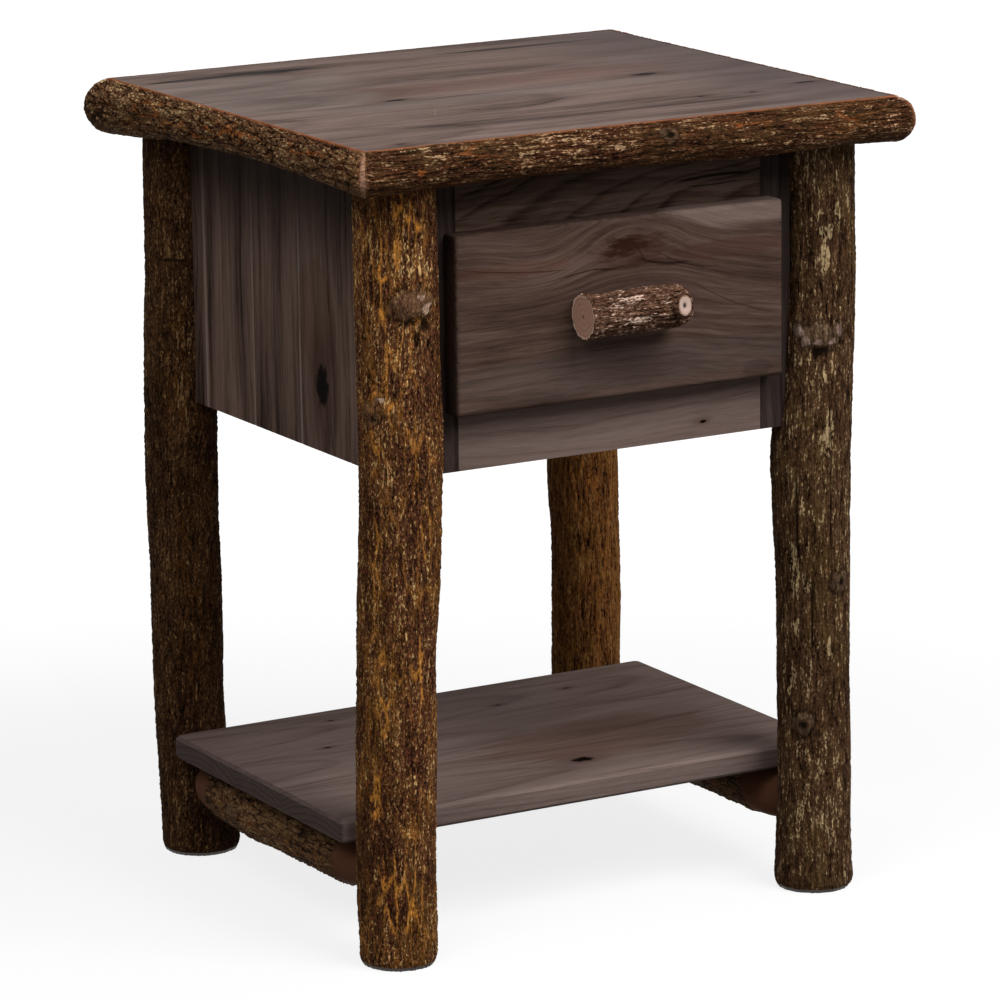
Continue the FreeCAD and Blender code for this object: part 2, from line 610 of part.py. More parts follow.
# Drawer box: sides with through dovetail tails, grooved for the runners and the bottom
bottom_base = f"{box_base} + bottom_lift"
drawer_bottom = box("drawer_bottom",
                    (f"-({box_half_width}) + box_board_thickness - bottom_groove_depth",
                     f"{box_half_width} - box_board_thickness + bottom_groove_depth"),
                    (f"{box_front} + box_board_thickness - bottom_groove_depth",
                     f"{box_rear} - box_board_thickness + bottom_groove_depth"),
                    (bottom_base, f"{bottom_base} + bottom_thickness"))
TAIL_SHARES = (1 / 6, 1 / 2, 5 / 6)
side_blanks = []
for side, sign in (("left", "-"), ("right", "")):
    faces = {"left": (f"-({box_half_width})", f"-({box_half_width}) + box_board_thickness"),
             "right": (f"{box_half_width} - box_board_thickness", box_half_width)}[side]
    web = box(f"drawer_side_{side}_web", faces,
              (f"{box_front} + box_board_thickness", f"{box_rear} - box_board_thickness"),
              (box_base, f"{box_base} + box_height"))
    solids = [web]
    for number, share in enumerate(TAIL_SHARES):
        level = f"{box_base} + box_height * {share}"
        wide = (f"{level} - tail_width / 2", f"{level} + tail_width / 2")
        narrow = (f"{level} - tail_width / 2 + tail_taper", f"{level} + tail_width / 2 - tail_taper")
        for end, y_pair, first, second in (
                ("front", (box_front, f"{box_front} + box_board_thickness"), wide, narrow),
                ("rear", (f"{box_rear} - box_board_thickness", box_rear), narrow, wide)):
            tail = doc.addObject("Part::Wedge", f"drawer_side_{side}_{end}_tail_{number}")
            bind(tail, Xmin=faces[0], Xmax=faces[1], X2min=faces[0], X2max=faces[1], Ymin=y_pair[0],
                 Ymax=y_pair[1], Zmin=first[0], Zmax=first[1], Z2min=second[0], Z2max=second[1])
            solids.append(tail)
    blank = fuse(f"drawer_side_{side}_blank", solids)
    blank.Refine = True
    side_blanks.append(blank)
    groove_faces = {"left": (f"-({box_half_width}) - box_side_play", f"-({runner_tip}) + runner_face_play"),
                    "right": (f"{runner_tip} - runner_face_play", f"{box_half_width} + box_side_play")}[side]
    groove = box(f"drawer_side_{side}_groove", groove_faces,
                 (f"{box_front} + runner_setback / 2", f"{box_rear} + runner_setback"),
                 (f"{runner_level[0]} - runner_base_play", f"{runner_level[1]} + runner_top_play"))
    piece(cut(f"drawer_side_{side}", blank, [groove, drawer_bottom]), f"drawer_side_{side}")


# Screws from inside the box front into the drawer front, and through the drawer front into the pull
FRONT_SCREW_WIDTH_SHARE = 0.7
FRONT_SCREW_HEIGHT_SHARES = (0.3, 0.72)
front_screws = []
for side, sign in (("left", "-"), ("right", "")):
    for number, share in enumerate(FRONT_SCREW_HEIGHT_SHARES):
        front_screws.append(screw(f"front_screw_{side}_{number}", -BACK, "short_screw_length",
                                  f"{sign}({box_half_width}) * {FRONT_SCREW_WIDTH_SHARE}",
                                  f"{box_front} + box_board_thickness", f"{box_base} + box_height * {share}"))
PULL_SCREW_SHARE = 0.2
pull_screws = [screw(f"pull_screw_{side}", -BACK, "pull_screw_length",
                     f"{sign}pull_length * {PULL_SCREW_SHARE}", box_front, front_middle)
               for side, sign in (("left", "-"), ("right", ""))]


# Pin boards at the two ends of the drawer box
for end, span in (("front", (box_front, f"{box_front} + box_board_thickness")),
                  ("rear", (f"{box_rear} - box_board_thickness", box_rear))):
    pin_board = box(f"drawer_box_{end}_blank", (f"-({box_half_width})", box_half_width), span,
                    (box_base, f"{box_base} + box_height"))
    tools = side_blanks + [drawer_bottom] + (front_screws if end == "front" else [])
    piece(cut(f"drawer_box_{end}", pin_board, tools), f"drawer_box_{end}")
piece(drawer_bottom, "drawer_bottom")
group("drawer_front_screws", front_screws)


# Drawer front: a board with rounded face edges that laps over the frame
front_board = board("drawer_front_board", ("-front_width / 2", "front_width / 2"), (front_face, box_front),
                    (front_base, f"{front_base} + front_height"))
dress(front_board, "Fillet", "front_corner_radius",
      edges_of(front_board, lambda edge, limits: along(edge, BACK)))
dress(front_board, "Fillet", "front_edge_radius",
      edges_of(front_board, lambda edge, limits: near(edge.valueAt(edge.FirstParameter).y, limits.YMin)
               and near(edge.valueAt(edge.LastParameter).y, limits.YMin)))
piece(cut("drawer_front", front_board, front_screws + pull_screws), "drawer_front")


# Pull: a short twig with its bark on, flat at the back, with a sawn-off side shoot at its right end
PULL_SHARES = ((-1.0, 0.985), (-0.93, 1.0), (-0.84, 0.95), (-0.4, 0.965), (0.1, 0.975), (0.6, 0.95),
               (0.88, 0.9), (0.96, 0.82), (1.0, 0.72))
pull_axis_y = f"{front_face} - pull_radius + pull_flat_depth"
twig = pole("drawer_pull_twig", TWIG_SIDES, RIGHT,
            [(f"pull_radius * {girth}", f"pull_length / 2 * {reach}", pull_axis_y, front_middle)
             for reach, girth in PULL_SHARES])
STUB_DIRECTION = FreeCAD.Vector(0.34, -0.94, 0.1)
stub = prism("drawer_pull_stub", SHOOT_SIDES, "stub_radius", "pull_radius + stub_proud", STUB_DIRECTION,
             f"stub_turn_reach - pull_radius * {STUB_DIRECTION.x}", pull_axis_y,
             f"{front_middle} + stub_rise")
pull_back = box("drawer_pull_back", ("-pull_length", "pull_length"), (front_face, box_front),
                (f"{front_middle} - pull_length", f"{front_middle} + pull_length"))
piece(cut("drawer_pull", fuse("drawer_pull_whole", [twig, stub]), [pull_back] + pull_screws), "drawer_pull")
group("pull_screws", pull_screws)


# Every object is sound before anything is written
doc.recompute()
for thing in doc.Objects:
    bad = [word for word in thing.State if word in ("Invalid", "Error")]
    if bad:
        raise RuntimeError(f"{thing.Name} is {bad}")
os.makedirs("parts", exist_ok=True)
for node in nodes:
    shape = node.Shape
    if shape.isNull() or not shape.isValid():
        raise RuntimeError(f"{node.Label} has no sound shape")
    shape.exportStep(f"parts/{node.Label}.step")
    print(f"{node.Label}: {len(shape.Solids)} solid, {shape.Volume / 1000:.1f} cm3")
print(f"{len(nodes)} nodes")
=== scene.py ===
import itertools
import math

import bpy
import numpy as np
from mathutils import Matrix, Vector


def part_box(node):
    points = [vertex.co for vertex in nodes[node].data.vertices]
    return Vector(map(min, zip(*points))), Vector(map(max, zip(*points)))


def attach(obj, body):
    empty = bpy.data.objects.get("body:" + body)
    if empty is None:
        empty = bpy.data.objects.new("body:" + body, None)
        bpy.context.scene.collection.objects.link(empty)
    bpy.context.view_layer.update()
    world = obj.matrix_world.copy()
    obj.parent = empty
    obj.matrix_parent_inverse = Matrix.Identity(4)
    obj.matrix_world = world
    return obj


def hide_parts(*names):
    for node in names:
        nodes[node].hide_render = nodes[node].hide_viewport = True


# A rustic one-drawer side table of bark-on poles and stained boards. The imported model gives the
# boards. The poles are replaced by meshes with bark, in the same places. Tables give lengths in
# millimetres, as in the part's source, angles in degrees, and colours in values of 0 to 255. Round
# an upright pole, 0 degrees is to the right and 270 to the front.

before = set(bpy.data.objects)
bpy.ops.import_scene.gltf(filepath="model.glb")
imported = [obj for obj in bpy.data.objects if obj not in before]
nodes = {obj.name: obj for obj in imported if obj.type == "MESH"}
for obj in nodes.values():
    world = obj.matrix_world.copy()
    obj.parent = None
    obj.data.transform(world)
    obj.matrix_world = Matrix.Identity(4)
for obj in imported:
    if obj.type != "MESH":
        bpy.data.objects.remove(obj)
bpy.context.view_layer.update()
MM = 0.001

TABLE_HEIGHT = 660.0
PANEL_THICKNESS = 31.75
HALF_PANEL_WIDTH = 239.1
HALF_PANEL_DEPTH = 219.4
BORDER_RADIUS = 18.0
LEG_RADIUS = 31.75
LEG_SIDE = 193.9
LEG_FRONT = 174.0
LEG_REAR = 194.2
STRETCHER_LEVEL = 66.8
HALF_PULL = 46.2
PULL_RADIUS = 18.9
PULL_AXIS_Y = -214.0
PULL_LEVEL = 510.25


# Repeatable noise for shapes

def chance(places, seed):
    """Repeatable random numbers from 0 to 1 at whole-number places."""
    mixed = places[:, 0] * 374761393 + places[:, 1] * 668265263 + places[:, 2] * 974634777 + seed * 362437
    mixed = mixed & 0xFFFFFFFF
    mixed = ((mixed ^ (mixed >> 13)) * 1274126177) & 0xFFFFFFFF
    mixed = ((mixed ^ (mixed >> 15)) * 668265263) & 0xFFFFFFFF
    return (mixed ^ (mixed >> 16)) / 0xFFFFFFFF


def noise(points, cell, seed):
    """Smooth noise from 0 to 1, with a cell size for each axis."""
    scaled = points / np.array(cell, dtype=float)
    corner = np.floor(scaled).astype(np.int64)
    part = scaled - corner
    part = part * part * (3 - 2 * part)
    total = np.zeros(len(points))
    for step in itertools.product((0, 1), repeat=3):
        weight = np.ones(len(points))
        for axis, side in enumerate(step):
            weight = weight * (part[:, axis] if side else 1 - part[:, axis])
        total += weight * chance(corner + np.array(step), seed)
    return total


def scattered(points, cell, seed):
    """Distances to the nearest and next nearest of scattered seeds, and the nearest one's tone."""
    scaled = points / np.array(cell, dtype=float)
    corner = np.floor(scaled).astype(np.int64)
    first = np.full(len(points), 9.0)
    second = np.full(len(points), 9.0)
    tone = np.zeros(len(points))
    for step in itertools.product((-1, 0, 1), repeat=3):
        home = corner + np.array(step)
        middle = home + np.stack([chance(home, seed + axis) for axis in range(3)], axis=-1)
        gap = np.linalg.norm(scaled - middle, axis=-1)
        closer = gap < first
        second = np.where(closer, first, np.minimum(second, gap))
        tone = np.where(closer, chance(home, seed + 3), tone)
        first = np.minimum(first, gap)
    return first, second, tone


def rise(value, low, high):
    """0 below low, 1 above high, and smooth between."""
    share = np.clip((value - low) / (high - low), 0, 1)
    return share * share * (3 - 2 * share)


def blend(first, second, share):
    return first * (1 - share) + second * share


def smooth_table(at, table):
    """Values of a table's columns at places along its first column, on a smooth curve."""
    known = np.array(table, dtype=float)
    x = known[:, 0]
    slopes = np.gradient(known[:, 1:], x, axis=0)
    index = np.clip(np.searchsorted(x, at) - 1, 0, len(x) - 2)
    width = x[index + 1] - x[index]
    t = np.clip((at - x[index]) / width, 0, 1)[:, None]
    width = width[:, None]
    low, high = known[index, 1:], known[index + 1, 1:]
    return (low * (1 + 2 * t) * (1 - t) ** 2 + slopes[index] * width * t * (1 - t) ** 2
            + high * t * t * (3 - 2 * t) + slopes[index + 1] * width * t * t * (t - 1))


# Bark

def bark(places, seed, width, length, grit):
    """Height of bark from 0 in a furrow to 1 on a ridge, and the plates' tone. The third axis runs
    along the pole. Grit is the share of small flakes against long ridges."""
    def cell(across, along):
        return width * across, width * across, length * along

    def ridge(across, along, ridge_seed):
        return 1 - np.abs(2 * noise(bent, cell(across, along), ridge_seed) - 1)

    sway = [(noise(places, cell(3.4, 1.3), seed + axis) - 0.5) * width * 2.4 for axis in range(2)]
    bent = places + np.stack([*sway, np.zeros(len(places))], axis=-1)
    first, second, tone = scattered(bent, cell(1.5, 0.9), seed + 10)
    plates = rise(second - first, 0.02, 0.34)
    flake = width * 0.75
    first, second, fine_tone = scattered(bent, (flake, flake, flake + length * 0.08), seed + 20)
    flakes = rise(second - first, 0.0, 0.45) * (0.35 + 0.65 * fine_tone)
    ridges = 0.42 * ridge(1, 1, seed + 5) + 0.26 * ridge(0.55, 0.4, seed + 7) + 0.14 * plates * tone
    height = blend(ridges, 0.8 * flakes, grit) + 0.3 * noise(places, cell(4.5, 2.2), seed + 30)
    low, high = np.percentile(height, (4, 96))
    return np.clip((height - low) / (high - low), 0, 1), 0.6 * tone + 0.4 * fine_tone


def add_object(name, data):
    """A new object in the scene."""
    made = bpy.data.objects.new(name, data)
    bpy.context.scene.collection.objects.link(made)
    return made


def skin(name, body, points, marks, materials, sawn_rows=()):
    """A grid of points as a closed mesh piece: rows run along it and columns round it. The rows given
    as sawn have the second material, and with them the flat ends."""
    rows, columns = points.shape[:2]
    grid = np.arange(rows * columns).reshape(rows, columns)
    grid = np.concatenate([grid, grid[:, :1]], axis=1)
    quads = np.stack([grid[:-1, :-1], grid[:-1, 1:], grid[1:, 1:], grid[1:, :-1]], axis=-1)
    faces = quads.reshape(-1, 4).tolist()
    faces += [grid[0, :columns][::-1].tolist(), grid[-1, :columns].tolist()]
    mesh = bpy.data.meshes.new(name)
    mesh.from_pydata((points.reshape(-1, 3) * MM).tolist(), [], faces)
    for mark_name, values in marks.items():
        layer = mesh.attributes.new(mark_name, "FLOAT", "POINT")
        layer.data.foreach_set("value", np.asarray(values, dtype=np.float32).ravel())
    for material in materials:
        mesh.materials.append(material)
    index = np.zeros(len(faces), dtype=np.int32)
    if sawn_rows:
        index[:-2] = np.isin(np.repeat(np.arange(rows - 1), columns), sawn_rows)
        index[-2:] = 1
    mesh.polygons.foreach_set("material_index", index)
    mesh.polygons.foreach_set("use_smooth", np.ones(len(faces), dtype=bool))
    mesh.validate()
    mesh.update()
    piece = add_object(name, mesh)
    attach(piece, body)
    return piece


def mark_fields(angle, along, radius, marks, ragged):
    """Height to add in millimetres, and masks, from a table of marks on a pole. Each kind lists its
    marks' angle and place along the pole, half width and half length, and strength."""
    lift = np.zeros(angle.shape)
    masks = {name: np.zeros(angle.shape) for name in ("streak", "scar", "pale", "hollow")}

    def cover(name, values):
        masks[name] = np.maximum(masks[name], values)

    for kind, rows in marks.items():
        for mark_angle, mark_along, half_width, half_length, strength in rows:
            turn = (angle - mark_angle + 180) % 360 - 180
            gap = np.hypot(np.radians(turn) * radius / half_width, (along - mark_along) / half_length)
            gap = gap + 0.7 * (ragged - 0.5)
            if kind == "knot":
                swirl = 0.16 * np.sin(gap * 13 + 5 * ragged + np.radians(turn) * 3)
                lift += strength * (np.exp(-(gap / 0.95) ** 2) * (0.8 + 0.4 * ragged + swirl)
                                    - 0.4 * np.exp(-((gap - 1.05) / 0.2) ** 2))
                cover("scar", 0.5 * (1 - rise(gap, 0.8, 1.05)))
                cover("hollow", 0.8 * np.exp(-((gap - 1.08) / 0.13) ** 2))
            elif kind == "hollow":
                lift -= strength * np.exp(-(gap / 0.8) ** 2)
                cover("hollow", 1 - rise(gap, 0.55, 1.0))
            elif kind == "bump":
                lift += strength * np.exp(-gap ** 2)
            else:
                cover(kind, strength * (1 - rise(gap, 0.5, 1.1)))
    return lift, masks


def round_pole(name, replaced, body, axes, profile, columns, step, style, marks, materials,
               first_end, last_end, bare=()):
    """A bark-covered pole along a line. The profile's rows are a place along it, the radius and the
    two offsets of its middle. Each end lists shares of the radius and places past the end."""
    seed, width, length, grit, depth = style
    start, stop = profile[0][0], profile[-1][0]
    along = np.linspace(start, stop, max(2, round((stop - start) / step)))
    values = smooth_table(along, profile)
    turn = np.linspace(0, 2 * math.pi, columns, endpoint=False)
    angle, reach = np.meshgrid(np.degrees(turn), along)
    radius = values[:, :1]
    places = np.stack([radius * np.cos(turn), radius * np.sin(turn), reach], axis=-1).reshape(-1, 3)

    def field(cell, extra):
        return noise(places, cell, seed + extra).reshape(angle.shape)

    height, tone = (part.reshape(angle.shape) for part in bark(places, seed, width, length, grit))
    ripple = field((3, 3, 5), 50)
    lift, masks = mark_fields(angle, reach, radius, marks, ripple)
    height = blend(height, ripple, 0.4 * masks["scar"])
    masks["pale"] *= 0.5 + 0.5 * rise(0.7 * field((4.5, 4.5, 13), 70) + 0.3 * ripple, 0.35, 0.6)
    peeled = np.zeros(angle.shape)
    ragged_reach = reach + 9 * field((5, 5, 9), 80)
    for low, high in bare:
        here = rise(ragged_reach, low, low + 3) * (1 - rise(ragged_reach, high, high + 3))
        peeled = np.maximum(peeled, here)
    height = blend(height, 0.1 + 0.1 * ripple, peeled)
    outside = radius - depth * (1 - height) + lift * (1 - peeled)
    right, up, onward = (np.array(axis, dtype=float) for axis in axes)
    spokes = np.cos(turn)[:, None] * right + np.sin(turn)[:, None] * up

    def ring(distance, place, middle):
        return middle[1] * right + middle[2] * up + place * onward + distance[:, None] * spokes

    rings = [ring(outside[0] * share, start + past, values[0]) for share, past in reversed(first_end)]
    rings += [ring(*row) for row in zip(outside, along, values)]
    rings += [ring(outside[-1] * share, stop + past, values[-1]) for share, past in last_end]
    fields = {"height": height, "tone": tone, "bare": peeled, **masks}
    for mark_name, part in fields.items():
        end_value = 0.5 if mark_name in ("height", "tone") else 0.0
        fields[mark_name] = np.pad(part, ((len(first_end), len(last_end)), (0, 0)), constant_values=end_value)
    sawn = [*range(len(first_end) - 1), *range(len(first_end) + len(along), len(rings) - 1)]
    piece = skin(name, body, np.stack(rings), fields, materials, sawn)
    if replaced:
        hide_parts(replaced)


# Materials

def shade(colour):
    """A colour from values of 0 to 255, as the renderer wants it."""
    linear = [value / 255 / 12.92 if value <= 10 else ((value / 255 + 0.055) / 1.055) ** 2.4
              for value in colour]
    return (*linear, 1.0)


class Value:
    """What a node gives out, so that sums of nodes can be written as ordinary sums."""

    def __init__(self, paint, socket):
        self.paint = paint
        self.socket = socket

    def __add__(self, other):
        return self.paint.math("ADD", self, other)

    def __sub__(self, other):
        return self.paint.math("SUBTRACT", self, other)

    def __mul__(self, other):
        return self.paint.math("MULTIPLY", self, other)

    def __truediv__(self, other):
        return self.paint.math("DIVIDE", self, other)

    def __abs__(self):
        return self.paint.math("ABSOLUTE", self)

    def step(self, low, high, first=0.0, last=1.0, smooth=False):
        """One number below low, another above high, and between them a slope."""
        return self.paint.ramp(self, ((low, first), (high, last)), smooth)


class Paint:
    """A material, short ways to add its nodes, and the colour that they have made so far."""

    def __init__(self, name):
        self.material = bpy.data.materials.new(name)
        self.material.use_nodes = True
        self.tree = self.material.node_tree
        self.tree.nodes.clear()
        self.colour = None

    def add(self, kind, inputs=None, **settings):
        """A node, with values or links for some of its inputs."""
        node = self.tree.nodes.new("ShaderNode" + kind)
        for key, value in settings.items():
            setattr(node, key, value)
        for key, value in (inputs or {}).items():
            socket = node.inputs[key]
            if isinstance(value, Value):
                self.tree.links.new(value.socket, socket)
            else:
                is_colour = socket.type == "RGBA" and len(value) == 3
                socket.default_value = shade(value) if is_colour else value
        return node

    def give(self, node, output=0):
        return Value(self, node.outputs[output])

    def math(self, operation, *values):
        return self.give(self.add("Math", dict(enumerate(values)), operation=operation))

    def length(self, first, second):
        return self.math("SQRT", first * first + second * second)

    def mix(self, share, first, second, blend_type="MIX"):
        inputs = {0: share, 6: first, 7: second}
        return self.give(self.add("Mix", inputs, data_type="RGBA", blend_type=blend_type), 2)

    def lay(self, share, colour):
        """Covers a share of the colour so far with another."""
        self.colour = self.mix(share, self.colour, colour)

    def darken(self, colour, grey):
        return self.mix(1.0, colour, grey, "MULTIPLY")

    def ramp(self, share, stops, smooth=False):
        """Numbers or colours between stops along a number."""
        node = self.add("ValToRGB", {0: share})
        node.color_ramp.interpolation = "EASE" if smooth else "LINEAR"
        elements = node.color_ramp.elements
        while len(elements) < len(stops):
            elements.new(0.5)
        for element, (position, colour) in zip(elements, stops):
            element.position = position
            element.color = shade(colour) if isinstance(colour, tuple) else (colour, colour, colour, 1.0)
        return self.give(node)

    def noise(self, vector, scale, detail=3.0, roughness=0.5, distortion=0.0, output=0):
        return self.give(self.add("TexNoise", {"Vector": vector, "Scale": scale, "Detail": detail,
                                               "Roughness": roughness, "Distortion": distortion}), output)

    def cracks(self, vector, scale, width, wander=1.6):
        """1 in thin wandering cracks between plates, and 0 on the plates."""
        sway = self.noise(vector, scale * 0.7, 2.0, 0.6, output="Color")
        inputs = {0: sway, 1: (wander / scale,) * 3, 2: vector}
        bent = self.give(self.add("VectorMath", inputs, operation="MULTIPLY_ADD"))
        cells = self.add("TexVoronoi", {"Vector": bent, "Scale": scale}, feature="DISTANCE_TO_EDGE")
        return self.give(cells, "Distance").step(0.0, width, 1.0, 0.0)

    def place(self, output="Object"):
        return self.give(self.add("TexCoord"), output)

    def stretch(self, vector, scale, shift):
        return self.give(self.add("Mapping", {"Vector": vector, "Location": shift, "Scale": scale}))

    def split(self, vector):
        node = self.add("SeparateXYZ", {0: vector})
        return [self.give(node, index) for index in range(3)]

    def join(self, x, y, z):
        return self.give(self.add("CombineXYZ", {0: x, 1: y, 2: z}))

    def attribute(self, name):
        return self.give(self.add("Attribute", attribute_name=name), "Fac")

    def finish(self, roughness, height, height_size, strength, inputs=None):
        """Ends the material with a surface, whose bumps are height_size metres high."""
        bump = self.add("Bump", {"Strength": strength, "Distance": height_size, "Height": height})
        surface = self.add("BsdfPrincipled", {"Base Color": self.colour, "Roughness": roughness,
                                              "Normal": self.give(bump), **(inputs or {})})
        self.add("OutputMaterial", {"Surface": self.give(surface)})
        return self.material


def bark_paint(name, along, colours, plates, lines, flecks, fine=1.0):
    """Varnished bark: dark in the furrows and lighter on the ridges, with fine grains in three colours and
    thin forked golden lines. Pale specks on the ridges are partly pale flakes of bark and partly painted
    glints. Plates gives how many plates there are in a metre across, how drawn out they are, and how wide
    and how strong the cracks are. Lines and flecks are how much of each there is where no mark asks for
    more, flecks counting the painted glints on the ridges, and fine is how much fine grain there is."""
    dark, middle, ridge, fleck, streak, scar, bare, blush, moss = colours
    plate_count, plate_pull, crack_width, crack_strength = plates
    paint = Paint(name)
    place = paint.place()

    def drawn(pull, shift=0.0):
        squeeze = [1.0, 1.0, 1.0]
        squeeze[along] = pull
        return paint.stretch(place, squeeze, (shift,) * 3)

    broad = paint.noise(drawn(0.4), 34.0, 2.0)
    patch = paint.noise(drawn(0.45, 0.3), 105.0, 3.0, 0.6)
    fibre = paint.noise(drawn(0.12), 430.0, 3.0, 0.62, 0.5)
    grain, speck, spark = paint.split(paint.noise(drawn(0.5, 0.7), 640.0, 2.0, 0.65, output="Color"))
    cracks = paint.cracks(drawn(plate_pull, 0.9), plate_count, crack_width)
    broad_swing, patch_swing, fibre_swing, grain_swing = (part - 0.5 for part in (broad, patch, fibre, grain))
    detail = (broad_swing * 0.3 + patch_swing * 0.5 + fibre_swing * 0.95 + grain_swing * (1.6 * fine)
              - cracks * crack_strength)
    level = detail + paint.attribute("height") * 0.42 + (0.33 + crack_strength * 0.25)
    paint.colour = paint.ramp(level, ((0.1, dark), (0.46, middle), (0.85, ridge), (1.2, fleck)))
    paint.colour = paint.darken(paint.colour, paint.attribute("tone") * 0.3 + 0.85)
    depth_tone = level * 0.85 + 0.4
    mossy = paint.noise(drawn(0.35, 2.1), 22.0, 2.0) + patch_swing * 0.8
    paint.lay(mossy.step(0.5, 0.68, 0.0, 0.42), paint.darken(moss, depth_tone))
    paint.lay(spark.step(0.58, 0.68, 0.0, 0.6), blush)
    paint.lay(speck.step(0.3, 0.38, 0.7, 0.0), dark)
    # Pale specks on the ridges: partly pale flakes of bark, partly painted glints where light would catch the
    # varnish.
    ridge_flecks_and_glints = (broad_swing * 1.2 + level).step(0.3, 0.65, 0.0, flecks)
    paint.lay(speck.step(0.6, 0.68) * ridge_flecks_and_glints, fleck)
    thread = paint.cracks(drawn(0.17, 1.3), 120.0, 0.1, 0.9) * grain.step(0.36, 0.48, 0.2, 1.0)
    stray = broad.step(0.42, 0.6) * lines
    paint.lay(thread * paint.math("MAXIMUM", stray, paint.attribute("streak")), streak)
    torn = grain_swing * 1.7 + fibre_swing * 3.2 + paint.attribute("pale")
    paint.lay(torn.step(0.52, 0.66, 0.0, 0.9), paint.darken(fleck, depth_tone))
    healing = paint.attribute("scar")
    rough_scar = paint.mix(0.55, ridge, (104, 86, 70))
    healed = paint.mix(healing.step(0.6, 0.9), rough_scar, scar)
    healed_grain = fibre_swing * 2.4 + grain_swing * 1.5 + 0.5
    healed = paint.mix(healed_grain.step(0.05, 0.6, 0.3, 1.0), dark, healed)
    paint.lay(healing * 1.5, healed)
    peeled = paint.mix(fibre.step(0.3, 0.7), paint.mix(0.5, middle, bare), bare)
    paint.lay(paint.attribute("bare"), peeled)
    paint.lay(paint.attribute("hollow") * 0.9, (12, 7, 4))
    gloss = fibre.step(0.3, 0.7, 0.78, 0.56)
    relief = detail * (paint.attribute("bare") * -0.8 + 1.0)
    return paint.finish(gloss, relief, 0.0012, 1.0, {"Specular IOR Level": 0.02})


def sawn_paint(name, axis, centre, pale, ring_dark, rim):
    """A sawn pole end: growth rings round a dark pith, and small checks that run out from it."""
    ring_spacing, pith_radius, rim_radius = 0.0021, 0.0012, 0.0175
    paint = Paint(name)
    x, y, z = paint.split(paint.place())
    first, second = {0: (y, z), 2: (x, y)}[axis]
    first, second = first - centre[0] * MM, second - centre[1] * MM
    flat = paint.join(first, second, 0.0)
    bent = (paint.noise(flat, 120.0) - 0.5) * 0.0032 + paint.length(first, second)
    rings = paint.math("PINGPONG", bent, ring_spacing) / ring_spacing
    paint.colour = paint.mix(paint.ramp(rings, ((0.0, 0.0), (0.62, 0.2), (1.0, 1.0))) * 0.7, pale, ring_dark)
    turn = paint.math("ARCTAN2", second, first)
    checks = paint.noise(paint.join(turn * 2.6, 0.0, 0.0), 3.0, 2.0).step(0.6, 0.66)
    paint.lay(checks * 0.45, ring_dark)
    paint.lay((bent / rim_radius).step(0.86, 0.97), rim)
    paint.lay((bent / pith_radius).step(0.6, 1.4, 1.0, 0.0), (30, 18, 12))
    return paint.finish(0.5, paint.noise(flat, 900.0), 0.0003, 0.5)


GRAINS = {
    # Which of x, y and z runs along the board, across its face and through it
    "x flat": (0, 1, 2), "x upright": (0, 2, 1), "y side": (1, 2, 0), "z side": (2, 1, 0),
    "z front": (2, 0, 1),
}


